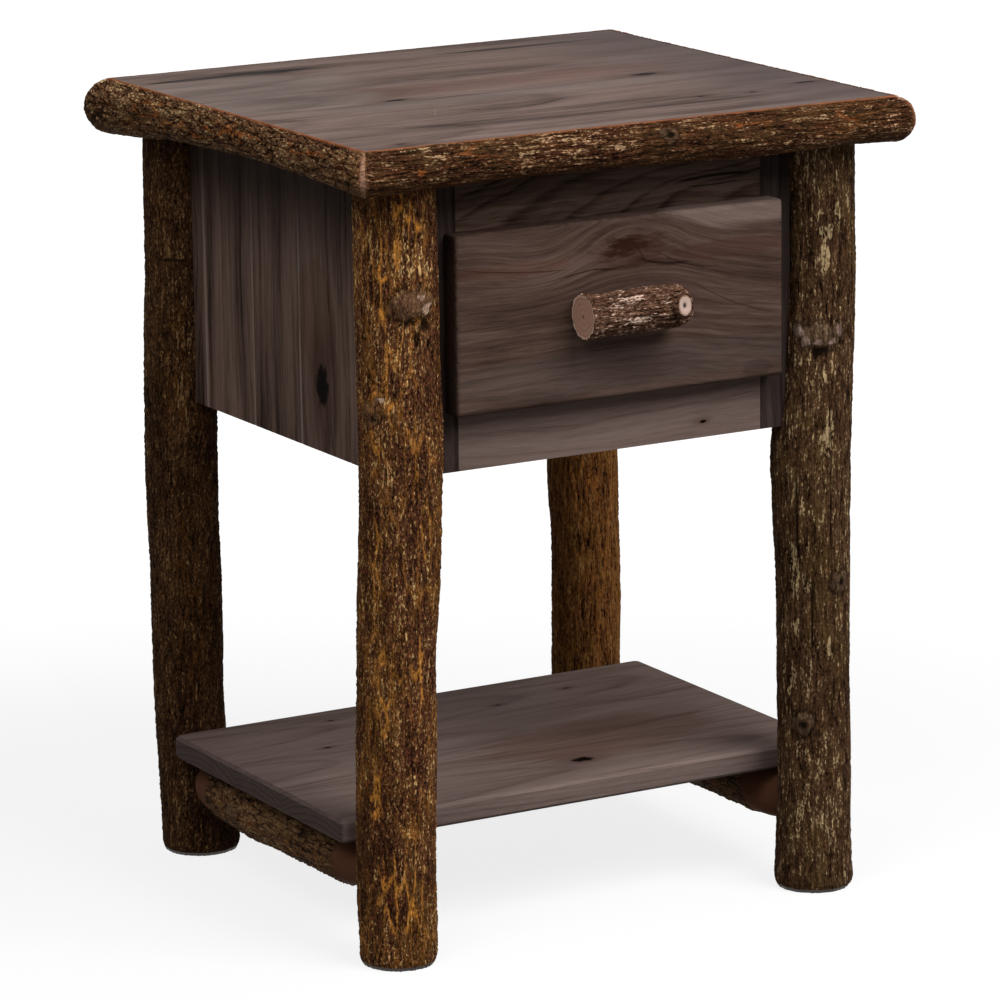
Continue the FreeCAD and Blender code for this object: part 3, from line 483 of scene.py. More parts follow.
def board_paint(name, grain, seed, colours, pith, features=(), tilt=0.0, spacing=5.0, rings=0.3,
                roughness=0.42, wild=1.0, contrast=1.0, shine=0.005, heart_share=1.0):
    """A stained board: long streaks, growth rings round an unseen pith, pores, and a table of features.
    pith is how far across and behind the face it lies, and tilt how fast it comes nearer."""
    dark, middle, light = colours
    paint = Paint(name)
    parts = paint.split(paint.place())
    along, across, through = (parts[index] for index in GRAINS[grain])
    shift = (seed * 1.37, seed * 0.73, seed * 0.31)

    def texture(side, lengthwise, crosswise, *settings, shift=shift):
        """Noise by how fine it is along and across the grain."""
        scale = (lengthwise, crosswise, crosswise)
        return paint.noise(paint.stretch(paint.join(along, side, through), scale, shift), 1.0, *settings)

    def oval(middle_along, middle_across, half_along, half_across):
        """Distance from a place on the face, in shares of a half length and half width."""
        return paint.length((along - middle_along * MM) / (half_along * MM),
                            (across - middle_across * MM) / (half_across * MM))

    def bell(distance, width):
        return paint.math("EXPONENT", distance * distance * (-1 / width ** 2))

    warped = (across + (texture(across, 5.0, 14.0, 2.0) - 0.5) * (0.026 * wild)
              + (texture(across, 22.0, 60.0, 2.0) - 0.5) * (0.0035 * wild))
    core = halo = 0.0
    for kind, *values in features:
        if kind == "arch":
            middle_along, half_along, lift, low, high = values
            share = (along - middle_along * MM) / (half_along * MM)
            span = ((across - low * MM) / ((high - low) * MM)).step(0.0, 1.0, smooth=True)
            warped = warped - bell(share, 1.0) * span * (lift * MM)
        elif kind == "slope":
            from_along, slant = values
            warped = warped + paint.math("MAXIMUM", along - from_along * MM, 0.0) * slant
        elif kind == "knot":
            gap = oval(*values)
            pull = bell(gap, 2.1)
            warped = warped - (across - values[1] * MM) * pull * 0.85
            torn = (texture(across, 170.0, 260.0) - 0.5) * 1.1 + gap
            core = paint.math("MAXIMUM", core, torn.step(0.6, 1.05, 1.0, 0.0, True))
            halo = paint.math("MAXIMUM", halo, pull)
    distance = paint.length(warped - pith[0] * MM, along * tilt + pith[1] * MM + through)
    uneven = paint.noise(paint.join(distance * 60.0, seed * 0.9, 0.0), 1.0, 2.0)
    turns = paint.math("FRACT", distance / (spacing * MM) + uneven * 3.0)
    ring = paint.ramp(turns, ((0.0, 0.1), (0.6, 0.25), (0.86, 1.0), (0.92, 0.4), (1.0, 0.1)))
    streak = texture(warped, 7.0, 230.0, 5.0, 0.62) - 0.5
    fine = texture(warped, 40.0, 800.0, 3.0, 0.6)
    broad = texture(warped, 4.0, 32.0, 3.0, 0.5, 0.4, shift=shift[::-1]) - 0.5
    level = (streak * (0.95 * contrast) + broad * (1.2 * contrast) + (fine - 0.5) * (0.7 * contrast)
             - (ring - 0.4) * rings + 0.5)
    paint.colour = paint.ramp(level, ((0.08, dark), (0.5, middle), (0.92, light)))
    edge = (broad + streak) * 0.9
    for kind, *values in features:
        # A fade lays a colour on more and more along the board; on the side staves it is painted shade under
        # the overhanging top.
        if kind == "fade":
            fade_from, fade_to, tint, amount = values
            share = (along - fade_from * MM) / ((fade_to - fade_from) * MM)
            paint.lay(share.step(0.0, 1.0, 0.0, amount, True), tint)
        elif kind in ("patch", "stain"):
            *place, tint, amount = values
            gap = oval(*place) + edge
            inner, outer = 0.72, 1.12
            if kind == "stain":
                gap = gap + (texture(across, 55.0, 260.0, 4.0, 0.62, shift=shift[::-1]) - 0.5) * 2.2
                inner, outer = 0.3, 1.35
            cover = gap.step(inner, outer, amount, 0.0, True)
            paint.lay(cover, paint.darken(tint, level * 0.8 + 0.6))
        # A line along the board; the pale lines at the side staves' seams are painted highlights on their
        # eased edges.
        elif kind == "line":
            line_across, half_width, tint, amount = values
            gap = abs(across - line_across * MM) / (half_width * MM)
            paint.lay(gap.step(0.6, 1.2, 1.0, 0.0) * amount, tint)
        elif kind == "crack":
            first_along, first_across, last_along, last_across, sag, half_width, tint, amount = values
            share = (along - first_along * MM) / ((last_along - first_along) * MM)
            path = share * ((last_across - first_across) * MM) + first_across * MM + edge * 0.003
            path = path + (share - share * share) * (sag * 4 * MM)
            gap = abs(across - path) / (half_width * MM)
            inside = abs(share - 0.5).step(0.36, 0.5, amount, 0.0)
            paint.lay(gap.step(0.4, 1.0, 1.0, 0.0) * inside, tint)
    paint.lay(halo * 0.6, paint.mix(0.5, dark, (64, 30, 18)))
    paint.lay(core * heart_share, (12, 7, 5))
    facing = paint.split(paint.place("Normal"))[GRAINS[grain][0]]
    sawn = paint.mix(ring * -0.45 + fine, paint.mix(0.6, dark, (8, 6, 5)), paint.mix(0.35, middle, dark))
    paint.lay(abs(facing).step(0.55, 0.9, 0.0, 0.85), sawn)
    pores = texture(across, 120.0, 2300.0, 2.0).step(0.6, 0.72)
    paint.lay(pores * 0.25, dark)
    gloss = streak * 0.14 + roughness
    return paint.finish(gloss, fine * 0.6 - pores * 0.5, 0.00022, 0.6, {"Specular IOR Level": shine})


def steel_paint(name):
    """Zinc-plated steel."""
    paint = Paint(name)
    spots = paint.noise(paint.place(), 700.0)
    paint.colour = paint.mix(spots, (150, 146, 134), (190, 186, 176))
    gloss = spots.step(0.3, 0.7, 0.3, 0.5)
    return paint.finish(gloss, spots, 0.0001, 0.4, {"Metallic": 1.0})


BARKS = {
    # For each pole: its axis; its dark, middle, ridge, fleck, streak, scar, peeled, blush and moss
    # colours; its plates; and its lines, flecks and fine grain. The fleck colour also gives the pale specks
    # on the ridges, which are partly painted glints.
    "leg_front_left": (2, ((30, 16, 10), (78, 48, 31), (118, 76, 47), (218, 178, 118), (230, 154, 66),
        (214, 178, 150), (120, 76, 52), (160, 86, 60), (112, 76, 34)), (290, 0.2, 0.1, 0.32), (0.35, 0.9)),
    "leg_front_right": (2, ((22, 12, 7), (64, 44, 29), (96, 69, 47), (182, 156, 116), (112, 80, 44),
        (172, 142, 126), (120, 76, 52), (104, 66, 50), (94, 74, 38)), (170, 0.12, 0.07, 0.36),
        (0.12, 0.2, 0.8)),
    "leg_rear_left": (2, ((17, 9, 5), (60, 39, 25), (90, 63, 40), (146, 112, 74), (120, 76, 32), (84, 60, 42),
        (120, 76, 52), (92, 50, 32), (58, 38, 19)), (290, 0.2, 0.1, 0.3), (0.15, 0.8)),
    "leg_rear_right": (2, ((26, 13, 7), (106, 67, 37), (150, 101, 55), (154, 116, 66), (174, 108, 44),
        (88, 60, 38), (120, 76, 52), (112, 64, 34), (116, 82, 34)), (230, 0.1, 0.1, 0.36), (0.25, 0.25, 0.8)),
    "border_x": (0, ((16, 8, 5), (60, 36, 22), (84, 52, 32), (178, 144, 108), (158, 90, 46), (178, 134, 108),
        (164, 102, 68), (112, 64, 42), (82, 62, 36)), (230, 0.1, 0.09, 0.5), (0.18, 0.2)),
    "border_y": (1, ((20, 11, 7), (88, 61, 42), (126, 95, 65), (190, 160, 118), (176, 100, 46),
        (240, 204, 150), (160, 98, 64), (132, 74, 48), (96, 72, 42)), (135, 0.3, 0.12, 0.6), (0.16, 0.4)),
    "stretcher": (1, ((18, 10, 7), (86, 61, 42), (132, 99, 67), (162, 132, 92), (150, 92, 48), (90, 64, 44),
        (104, 66, 48), (104, 62, 42), (92, 72, 42)), (150, 0.3, 0.1, 0.45), (0.15, 0.25, 0.8)),
    "pull": (0, ((28, 16, 10), (74, 49, 36), (124, 93, 74), (218, 188, 168), (146, 110, 84), (120, 92, 72),
        (120, 86, 68), (128, 80, 60), (112, 78, 54)), (240, 0.1, 0.09, 0.4), (0.1, 0.3, 0.8)),
}
bark_paints = {pole: bark_paint("bark_" + pole.removeprefix("leg_"), axis, colours, plates, *amounts)
               for pole, (axis, colours, plates, amounts) in BARKS.items()}
foot_ends = sawn_paint("sawn_foot", 2, (-LEG_SIDE, -LEG_FRONT), (150, 112, 78), (92, 62, 40), (46, 28, 17))


# Legs. Each station is a share of the height, of the radius, and of the radius to the right and back.
LEG_HEIGHT = TABLE_HEIGHT - PANEL_THICKNESS
LEG_TABLES = {
    "leg_front_left": ((0.012, 1, -0.095, 0.05), (0.1, 1.008, -0.12, 0.065), (0.34, 1.01, -0.058, 0.03),
        (0.4, 1, -0.05, 0.026), (0.47, 1.03, 0.025, -0.014), (0.55, 1.04, 0.094, -0.05),
        (0.63, 1.052, 0.136, -0.074), (0.8, 1.045, 0.11, -0.06), (1, 1.03, 0.086, -0.047)),
    "leg_front_right": ((0.012, 1.04, -0.018, 0.012), (0.05, 1.005, -0.02, 0.01), (0.16, 0.965, 0, 0),
        (0.28, 0.955, -0.02, 0.012), (0.4, 0.965, -0.03, 0.019), (0.52, 1.03, -0.07, 0.047),
        (0.58, 1.05, -0.075, 0.05), (0.67, 1, 0, 0), (0.79, 0.965, 0.085, -0.05), (1, 0.955, 0.08, -0.05)),
    "leg_rear_left": ((0.012, 1.05, 0.165, -0.08), (0.06, 0.99, 0.09, -0.045), (0.2, 0.94, -0.042, 0.02),
        (0.35, 0.965, -0.037, 0.018), (0.43, 0.955, -0.056, 0.028), (0.5, 0.97, -0.078, 0.038),
        (0.62, 0.985, -0.05, 0.025), (0.8, 0.98, 0.05, -0.02), (1, 0.965, 0.09, -0.04)),
    "leg_rear_right": ((0.012, 1, 0.04, 0.03), (0.1, 0.965, 0.02, 0.01), (0.2, 0.958, 0.005, 0),
        (0.27, 0.97, 0.028, -0.015), (0.35, 0.965, 0.019, -0.01), (0.41, 0.99, -0.02, 0.01),
        (0.5, 0.965, -0.034, 0.02), (0.7, 0.98, 0, 0), (1, 0.96, -0.02, 0)),
}
LEG_STYLES = {
    # Seed, width and length of the bark plates, share of fine grit, and depth
    "leg_front_left": (11, 3.0, 15.0, 0.4, 1.7), "leg_front_right": (23, 4.4, 26.0, 0.25, 1.5),
    "leg_rear_left": (37, 3.2, 16.0, 0.35, 1.4), "leg_rear_right": (53, 3.4, 22.0, 0.25, 1.7),
}
LEG_MARKS = {
    "leg_front_left": {
        "knot": ((264, 534, 21, 13, 3.4), (199, 450, 9, 10, 2.4)),
        "hollow": ((284, 518, 9, 7, 3), (271, 508, 5, 8, 1.8), (290, 503, 4, 6, 1.4), (258, 522, 5, 3, 1.6),
            (204, 446, 4, 5, 2.2)),
        "scar": ((286, 531, 9, 5, 1), (274, 541, 5, 3, 0.85), (214, 461, 4, 3, 1)),
        "bump": ((200, 452, 9, 14, 2.6),),
        "pale": ((222, 460, 5, 3, 0.9), (262, 572, 12, 26, 0.4), (205, 585, 4, 8, 0.6),
            (284, 566, 8, 16, 0.4), (272, 552, 12, 8, 0.4), (290, 330, 6, 20, 0.3)),
        "streak": ((247, 612, 5, 26, 1), (243, 575, 4, 18, 0.9), (261, 605, 4, 24, 1), (275, 612, 4, 26, 1),
            (222, 548, 5, 42, 1), (214, 500, 5, 24, 0.9), (228, 478, 4, 40, 1), (205, 440, 5, 44, 0.9),
            (252, 508, 4, 16, 0.7), (262, 420, 12, 40, 0.5), (280, 350, 8, 36, 0.6), (275, 236, 8, 44, 0.9),
            (222, 220, 7, 50, 0.8), (212, 141, 6, 40, 0.9), (250, 60, 26, 40, 0.9), (206, 330, 6, 60, 0.7)),
    },
    "leg_front_right": {
        "knot": ((241, 467, 18, 13, 2), (219, 144, 11, 10, 2.6), (285, 262, 9, 10, 2.2)),
        "hollow": ((240, 455, 10, 6, 2.4), (238, 444, 12, 1.4, 1), (220, 143, 4, 4, 2), (285, 262, 4, 5, 2),
            (302, 540, 1.2, 90, 1.6), (216, 320, 1.2, 50, 1.2), (268, 330, 1, 60, 1.2),
            (236, 230, 1, 60, 1.2)),
        "scar": ((209, 471, 7, 8, 0.9), (220, 463, 7, 5, 1), (238, 463, 9, 2.4, 0.85), (274, 471, 5, 8, 0.9),
            (262, 463, 6, 4, 1)),
        "bump": ((242, 463, 16, 14, 1.2),),
        "pale": ((250, 432, 6, 8, 0.7), (208, 274, 6, 26, 0.8), (262, 388, 6, 24, 0.75),
            (200, 388, 5, 20, 0.8), (226, 262, 5, 14, 0.5), (270, 560, 4, 18, 0.6), (222, 530, 5, 14, 0.4),
            (232, 330, 10, 24, 0.3), (268, 460, 5, 12, 0.4), (214, 120, 6, 14, 0.5), (212, 452, 4, 22, 0.6),
            (231, 562, 5, 6, 0.8), (250, 552, 8, 8, 0.8), (246, 530, 6, 16, 0.8), (290, 575, 4, 8, 0.7),
            (240, 568, 4, 4, 0.7), (246, 211, 2.5, 10, 1), (264, 210, 2.5, 10, 1), (284, 226, 3, 6, 1),
            (208, 226, 6, 8, 0.7), (200, 180, 5, 16, 0.7), (216, 80, 9, 30, 0.35), (262, 60, 12, 30, 0.25)),
    },
    "leg_rear_left": {
        "bump": ((222, 517, 16, 12, 1.6),),
        "hollow": ((226, 513, 22, 1, 0.8),),
        "pale": ((226, 517, 26, 2, 0.6), (250, 515, 12, 2, 0.6), (250, 430, 10, 60, 0.4)),
        "streak": ((240, 420, 14, 80, 0.5), (250, 220, 14, 90, 0.5)),
        "knot": ((60, 300, 10, 10, 2.6),),
    },
    "leg_rear_right": {
        "streak": ((245, 280, 14, 60, 0.6), (262, 170, 12, 60, 0.6)),
        "knot": ((90, 420, 10, 11, 2.6),),
        "pale": ((230, 230, 8, 50, 0.4),),
    },
}
UPRIGHT = ((1, 0, 0), (0, 1, 0), (0, 0, 1))
LEG_COLUMNS, LEG_STEP = 216, 2.4
LEG_TOP_GAP = 0.3
FOOT_BEVEL = 3.0
for leg_name, leg_table in LEG_TABLES.items():
    leg_x = -LEG_SIDE if "left" in leg_name else LEG_SIDE
    leg_y = -LEG_FRONT if "front" in leg_name else LEG_REAR
    profile = [(share * LEG_HEIGHT, girth * LEG_RADIUS, leg_x + right * LEG_RADIUS, leg_y + back * LEG_RADIUS)
               for share, girth, right, back in leg_table]
    profile[-1] = (LEG_HEIGHT - LEG_TOP_GAP, *profile[-1][1:])
    foot = profile[0][0]
    round_pole(
        leg_name + "_bark", leg_name, "table", UPRIGHT, profile, LEG_COLUMNS, LEG_STEP,
        LEG_STYLES[leg_name], LEG_MARKS[leg_name], [bark_paints[leg_name], foot_ends],
        ((0.97, FOOT_BEVEL - foot), (0.925, -foot), (0.86, -foot), (0.5, -foot), (0.04, -foot)),
        ((0.8, 0.0), (0.3, 0.0), (0.03, 0.0)))


# Stretchers under the shelf, peeled near the legs. Each station is a place behind the front leg and a
# radius.
LYING = ((1, 0, 0), (0, 0, 1), (0, 1, 0))
STRETCHER_COLUMNS, STRETCHER_STEP = 112, 1.7
STRETCHER_END = ((0.9, 0.0), (0.04, 0.0))
STRETCHER_MARKS = {
    "streak": ((200, -40, 12, 60, 0.8), (190, 60, 12, 60, 0.6)),
    "pale": ((210, 20, 10, 60, 0.5),),
    "knot": ((185, 70, 9, 11, 1.4),),
}
STRETCHER_TABLES = {
    "stretcher_left": ((-24, 12.7), (3, 12.7), (8, 17.4), (16, 20), (30, 22.6), (46, 24.8), (61, 25.4),
        (90, 25.4), (128, 25.9), (165, 26), (201, 28), (250, 25.8), (274, 24.4), (288, 22.2), (297, 18.4),
        (302, 12.7), (328, 12.7)),
    "stretcher_right": ((-24, 12.7), (3, 12.7), (8, 19), (16, 22.8), (30, 24.6), (61, 25.2), (128, 25.7),
        (201, 27.7), (250, 25.5), (274, 24.2), (288, 22), (297, 18.2), (302, 12.7), (328, 12.7)),
}
front_leg_back = -LEG_FRONT + LEG_RADIUS
rear_leg_front = LEG_REAR - LEG_RADIUS
for number, (stretcher_name, table) in enumerate(STRETCHER_TABLES.items()):
    side_x = -LEG_SIDE if "left" in stretcher_name else LEG_SIDE
    round_pole(
        stretcher_name + "_bark", stretcher_name, "table", LYING,
        [(front_leg_back + run, radius, side_x, STRETCHER_LEVEL) for run, radius in table],
        STRETCHER_COLUMNS, STRETCHER_STEP, (71 + number * 7, 4.6, 17.0, 0.35, 1.7), STRETCHER_MARKS,
        [bark_paints["stretcher"], foot_ends], STRETCHER_END, STRETCHER_END,
        bare=((front_leg_back - 60, front_leg_back + 46), (rear_leg_front - 36, rear_leg_front + 60)))


# Half-round poles round the planks. They meet in mitres at rounded corners. Each station is a share of
# the half length and of the radius.
BORDER_TABLES = {
    "border_front": ((-1, 1), (-0.74, 0.965), (-0.52, 0.935), (-0.15, 0.94), (0.18, 1), (0.46, 1.05),
        (0.84, 1.015), (1, 1.055)),
    "border_right": ((-1, 1.055), (-0.7, 0.98), (-0.3, 1.03), (0.15, 0.95), (0.55, 1), (0.8, 1.12),
        (1, 1.28)),
    "border_back": ((-1, 1.28), (-0.88, 0.97), (-0.5, 0.93), (0, 1), (0.45, 0.94), (0.88, 0.97), (1, 1.3)),
    "border_left": ((-1, 1.3), (-0.68, 1.15), (-0.5, 1.03), (-0.2, 0.96), (0.16, 0.88), (0.42, 0.9),
        (0.72, 0.93), (1, 1)),
}
BORDER_SIDES = {
    # Half length, place of the middle, and turn about the upright axis
    "border_front": (HALF_PANEL_WIDTH, 0, -HALF_PANEL_DEPTH, 0),
    "border_right": (HALF_PANEL_DEPTH, HALF_PANEL_WIDTH, 0, 90),
    "border_back": (HALF_PANEL_WIDTH, 0, HALF_PANEL_DEPTH, 180),
    "border_left": (HALF_PANEL_DEPTH, -HALF_PANEL_WIDTH, 0, -90),
}
BORDER_STYLES = {
    "border_front": (101, 3.0, 24.0, 0.2, 1.8), "border_right": (113, 3.4, 15.0, 0.4, 1.9),
    "border_back": (127, 3.4, 15.0, 0.4, 1.9), "border_left": (139, 4.6, 15.0, 0.45, 2.5),
}
BORDER_MARKS = {
    # Their angle is from the top over the outside
    "border_front": {
        "knot": ((60, 22, 8, 8, 1),),
        "hollow": ((60, 22, 5, 5, 1.2),),
        "pale": ((24, -196, 5, 22, 0.55), (60, -176, 8, 18, 0.45), (44, -112, 5, 4, 1), (74, -112, 4, 3, 1),
            (36, -90, 4, 10, 0.6), (84, -24, 3, 6, 1), (84, -62, 3, 3, 1), (50, 168, 5, 10, 0.5)),
        "streak": ((56, 96, 10, 20, 0.9), (60, 196, 10, 24, 0.7), (50, -160, 9, 24, 0.5),
            (90, -200, 4, 4, 1)),
    },
    "border_right": {
        "pale": ((70, -100, 9, 30, 0.5),),
        "knot": ((80, 60, 8, 10, 1.2),),
    },
    "border_back": {
        "knot": ((70, 90, 8, 10, 1.2),),
        "pale": ((60, -80, 9, 30, 0.5),),
    },
    "border_left": {
        "streak": ((70, 20, 9, 60, 0.9), (100, -60, 9, 50, 0.7), (60, -120, 12, 30, 0.7),
            (60, 150, 8, 40, 0.5), (14, -222, 5, 10, 1)),
        "pale": ((100, 10, 5, 8, 0.5), (100, -110, 6, 10, 0.4)),
    },
}
RIM_WIDTH = 1.7
NOSE_ROWS = 12
BORDER_COLUMNS, BORDER_STEP = 62, 1.35


def border_pole(name, share_table):
    """A half-round pole. Its ends swing round to the mitres, and a thin rim along the planks is bare."""
    half_span, side_x, side_y, side_turn = BORDER_SIDES[name]
    seed, plate_width, plate_length, grit, depth = BORDER_STYLES[name]
    straight = np.linspace(-half_span, half_span, round(half_span * 2 / BORDER_STEP))
    girth = smooth_table(straight / half_span, share_table)[:, 0] * BORDER_RADIUS
    swing = np.linspace(0, 45, NOSE_ROWS + 1)[1:]
    ends = np.pad(straight, NOSE_ROWS, mode="edge")
    radius = np.pad(girth, NOSE_ROWS, mode="edge")
    yaw = np.radians(np.concatenate([-swing[::-1], np.zeros(len(straight)), swing]))
    over = np.radians(np.linspace(0, 180, BORDER_COLUMNS))
    outward = np.stack([np.outer(np.sin(yaw), np.sin(over)), -np.outer(np.cos(yaw), np.sin(over)),
                        np.outer(np.ones(len(yaw)), np.cos(over))], axis=-1)
    middle = np.stack([ends, np.zeros(len(ends)), TABLE_HEIGHT - radius], axis=-1)
    smooth_points = middle[:, None, :] + outward * radius[:, None, None]
    angle, reach = np.meshgrid(np.degrees(over), ends + radius * yaw)
    radius = radius[:, None]
    places = smooth_points[..., [1, 2, 0]].reshape(-1, 3)

    def field(cell, extra):
        return noise(places, cell, seed + extra).reshape(angle.shape)

    height, tone = (part.reshape(angle.shape)
                    for part in bark(places, seed, plate_width, plate_length, grit))
    ripple = field((3, 3, 5), 50)
    ragged = field((3, 3, 7), 51)
    lift, masks = mark_fields(angle, reach, radius, BORDER_MARKS[name], ripple)
    height = blend(height, 0.4 + 0.3 * ripple, 0.55 * rise(angle, 105, 140))
    height = blend(height, ripple, 0.4 * masks["scar"])
    masks["pale"] *= 0.5 + 0.5 * rise(0.7 * field((4, 4, 8), 70) + 0.3 * ripple, 0.35, 0.6)

    # Bare wood along the rim, at the mitres' seams and in two of the corners
    mitre_gap = half_span + radius * math.pi / 4 - np.abs(reach)
    bare_corner = np.where(reach > 0, name != "border_left", name != "border_front")
    rim_width = RIM_WIDTH + 2.6 * bare_corner * (1 - rise(mitre_gap, 12, 40))
    rim = 1 - rise(np.radians(angle) * radius + 1.6 * (ragged - 0.5), rim_width, rim_width + 0.8)
    seam = 1 - rise(mitre_gap + bare_corner * ragged, 0.5 + 2.6 * bare_corner, 1.3 + 3.0 * bare_corner)
    heart = (bare_corner * (1 - rise(mitre_gap + 4 * ragged, 13.0, 17.0))
             * (1 - rise(angle + 14 * ragged, 33, 43)))
    peeled = np.zeros(angle.shape)
    if name == "border_front":
        healed = np.where(reach < 0, 1 - rise(mitre_gap + 1.6 * ragged, 5.6, 7.4), 0)
        masks["scar"] = np.maximum(masks["scar"], healed)
        peeled = (1 - rise(mitre_gap + 4 * ragged, 6.0, 10.0)) * np.where(reach < 0, 1, 0.35)
        peeled = peeled * (1 - masks["scar"])
    masks["scar"] = np.maximum(masks["scar"], heart)
    cover = np.maximum(rim, np.maximum(peeled * 0.85, seam * (0.6 + 0.4 * bare_corner))) * (1 - heart)

    inset = (1 - rim) * (depth * (1 - height) * (1 - 0.7 * peeled) + 0.5 * peeled + 0.9 * seam)
    inset *= 1 - 0.6 * rise(np.abs(yaw), 0.1, 0.6)[:, None]
    inset -= np.clip(lift, -1.5, 1.0) * (1 - rim) * np.sin(over)
    points = smooth_points - outward * np.maximum(inset, 0.0)[..., None]
    points[:, 0, 1] = np.where(np.abs(yaw) > 0, points[:, 0, 1], 0.0)
    turn = math.radians(side_turn)
    spin = np.array([[math.cos(turn), -math.sin(turn), 0], [math.sin(turn), math.cos(turn), 0], [0, 0, 1]])
    paint_name = "border_x" if side_y else "border_y"
    piece = skin(name + "_bark", "table", points @ spin.T + np.array([side_x, side_y, 0]),
                 {"height": height, "tone": tone, "bare": cover, **masks}, [bark_paints[paint_name]])
    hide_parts(name)


for border_name, border_table in BORDER_TABLES.items():
    border_pole(border_name, border_table)


# Drawer pull: a twig with its bark on and sawn ends, and the stub of a side shoot
TWIG = ((0, 1, 0), (0, 0, 1), (1, 0, 0))
PULL_TABLE = ((-1, 0.975), (-0.93, 1), (-0.86, 0.955), (-0.78, 0.93), (-0.4, 0.95), (0.1, 0.97),
    (0.55, 0.955), (0.8, 0.93), (0.93, 0.86), (1, 0.77))
PULL_MARKS = {
    "pale": ((200, -10, 9, 20, 0.6), (140, -14, 8, 18, 0.6), (150, 20, 6, 10, 0.5)),
    "streak": ((180, 5, 9, 24, 0.5),),
}
PULL_COLUMNS, PULL_STEP = 132, 0.8
pull_ends = sawn_paint(
    "sawn_pull", 0, (PULL_AXIS_Y, PULL_LEVEL), (196, 154, 130), (158, 118, 97), (228, 194, 172))
round_pole(
    "pull_bark", "drawer_pull", "drawer", TWIG,
    [(share * HALF_PULL, girth * PULL_RADIUS, PULL_AXIS_Y, PULL_LEVEL) for share, girth in PULL_TABLE],
    PULL_COLUMNS, PULL_STEP, (163, 3.6, 15.0, 0.2, 1.8), PULL_MARKS, [bark_paints["pull"], pull_ends],
    ((0.985, -0.1), (0.9, 0.1), (0.6, 0.0), (0.3, 0.15), (0.03, 0.0)),
    ((0.93, 0.0), (0.7, -0.15), (0.4, 0.0), (0.03, 0.0)))

SHOOT_TABLE = ((8, 9.8), (14, 9.8), (18, 9.6), (21.2, 8.9))
SHOOT_TIP = 22.0
SHOOT_COLUMNS, SHOOT_STEP = 72, 0.7
shoot_side = Vector((0.34, -0.94, 0.1)).normalized()
shoot_right = shoot_side.cross(Vector((0, 0, 1))).normalized()
shoot_up = shoot_right.cross(shoot_side).normalized()
shoot_foot = Vector((34.0 - PULL_RADIUS * 0.34, PULL_AXIS_Y, PULL_LEVEL + 1.6))


def shoot_paint():
    """The shoot's pale sawn end, with a dark hole at its heart."""
    ring_spacing, rim_radius, hole_radius = 0.0011, 0.0082, 0.0027
    paint = Paint("sawn_shoot")
    tip = tuple(value * MM for value in shoot_foot + shoot_side * SHOOT_TIP)
    wobble = paint.noise(paint.place(), 160.0)
    gap = paint.give(paint.add("VectorMath", {0: paint.place(), 1: tip}, operation="DISTANCE"), "Value")
    distance = (wobble - 0.5) * 0.0022 + gap
    rings = paint.math("PINGPONG", distance, ring_spacing) / ring_spacing
    paint.colour = paint.mix(rings * 0.4, (208, 180, 164), (150, 116, 100))
    paint.lay((distance / rim_radius).step(0.78, 1.0), (128, 92, 72))
    paint.lay((distance / hole_radius).step(0.7, 1.2, 1.0, 0.0), (34, 18, 12))
    return paint.finish(0.5, wobble, 0.0003, 0.5)


round_pole(
    "pull_shoot", None, "drawer", [tuple(axis) for axis in (shoot_right, shoot_up, shoot_side)],
    [(shoot_foot.dot(shoot_side) + run, radius, shoot_foot.dot(shoot_right), shoot_foot.dot(shoot_up))
     for run, radius in SHOOT_TABLE],
    SHOOT_COLUMNS, SHOOT_STEP, (171, 3.4, 9.0, 0.25, 0.7), {}, [bark_paints["pull"], shoot_paint()],
    ((0.5, 0.0), (0.04, 0.0)), ((0.95, 0.25), (0.8, 0.3), (0.35, 0.2), (0.2, -0.5), (0.03, -0.9)))


# Boards. Each feature is a kind and what board_paint takes for it, in its order.

def dress(node_name, material):
    """Gives a piece of the model its material."""
    slots = nodes[node_name].data.materials
    slots.clear()
    slots.append(material)


def stain(node_name, *settings, **choices):
    dress(node_name, board_paint(node_name + "_stain", *settings, **choices))


TOP_FEATURES = {
    "top_plank_rear": (("patch", -160, 172, 82, 7, (28, 22, 21), 0.9),
        ("patch", 120, 178, 100, 5, (30, 24, 22), 0.85), ("patch", -190, 110, 130, 60, (138, 123, 115), 0.6),
        ("patch", 60, 100, 160, 24, (112, 90, 82), 0.5)),
    "top_plank_middle_rear": (("knot", -102, -17, 12, 4), ("knot", 132, -13, 14, 5),
        ("patch", 30, 20, 220, 34, (116, 86, 76), 0.6), ("patch", -190, 20, 90, 50, (138, 123, 115), 0.6)),
    "top_plank_middle_front": (("patch", 0, -40, 260, 16, (124, 108, 102), 0.7),
        ("crack", -98, -75, 22, -77, -24, 1.3, (20, 14, 12), 0.9),
        ("crack", -112, -101, -98, -74, 0, 0.6, (170, 154, 144), 0.7)),
    "top_plank_front": (("knot", 218, -123, 12, 4), ("knot", 110, -138, 4, 2), ("knot", 155, -143, 4, 2),
        ("knot", -200, -205, 5, 2.5), ("patch", 0, -160, 200, 5, (74, 58, 53), 0.6),
        ("patch", 30, -200, 200, 10, (80, 63, 58), 0.5)),
}
TOP_SEAMS = tuple(("line", place, 0.7, (26, 18, 16), 0.6) for place in (58.3, -23.3, -120.3))
TOP_EDGES = (("fade", 70, 235, (94, 82, 80), 0.7), ("fade", 236.6, 238.0, (18, 13, 12), 0.9),
             ("line", 219.4, 2.4, (18, 13, 12), 0.9))
for number, (plank_name, features) in enumerate(TOP_FEATURES.items()):
    stain(plank_name, "x flat", 3 + number, ((66, 49, 43), (120, 99, 91), (148, 128, 119)),
          ((150, 20, -70, -170)[number], 46), features + TOP_SEAMS + TOP_EDGES, tilt=0.02, spacing=5.5,
          rings=0.25, roughness=0.4, shine=0.08)

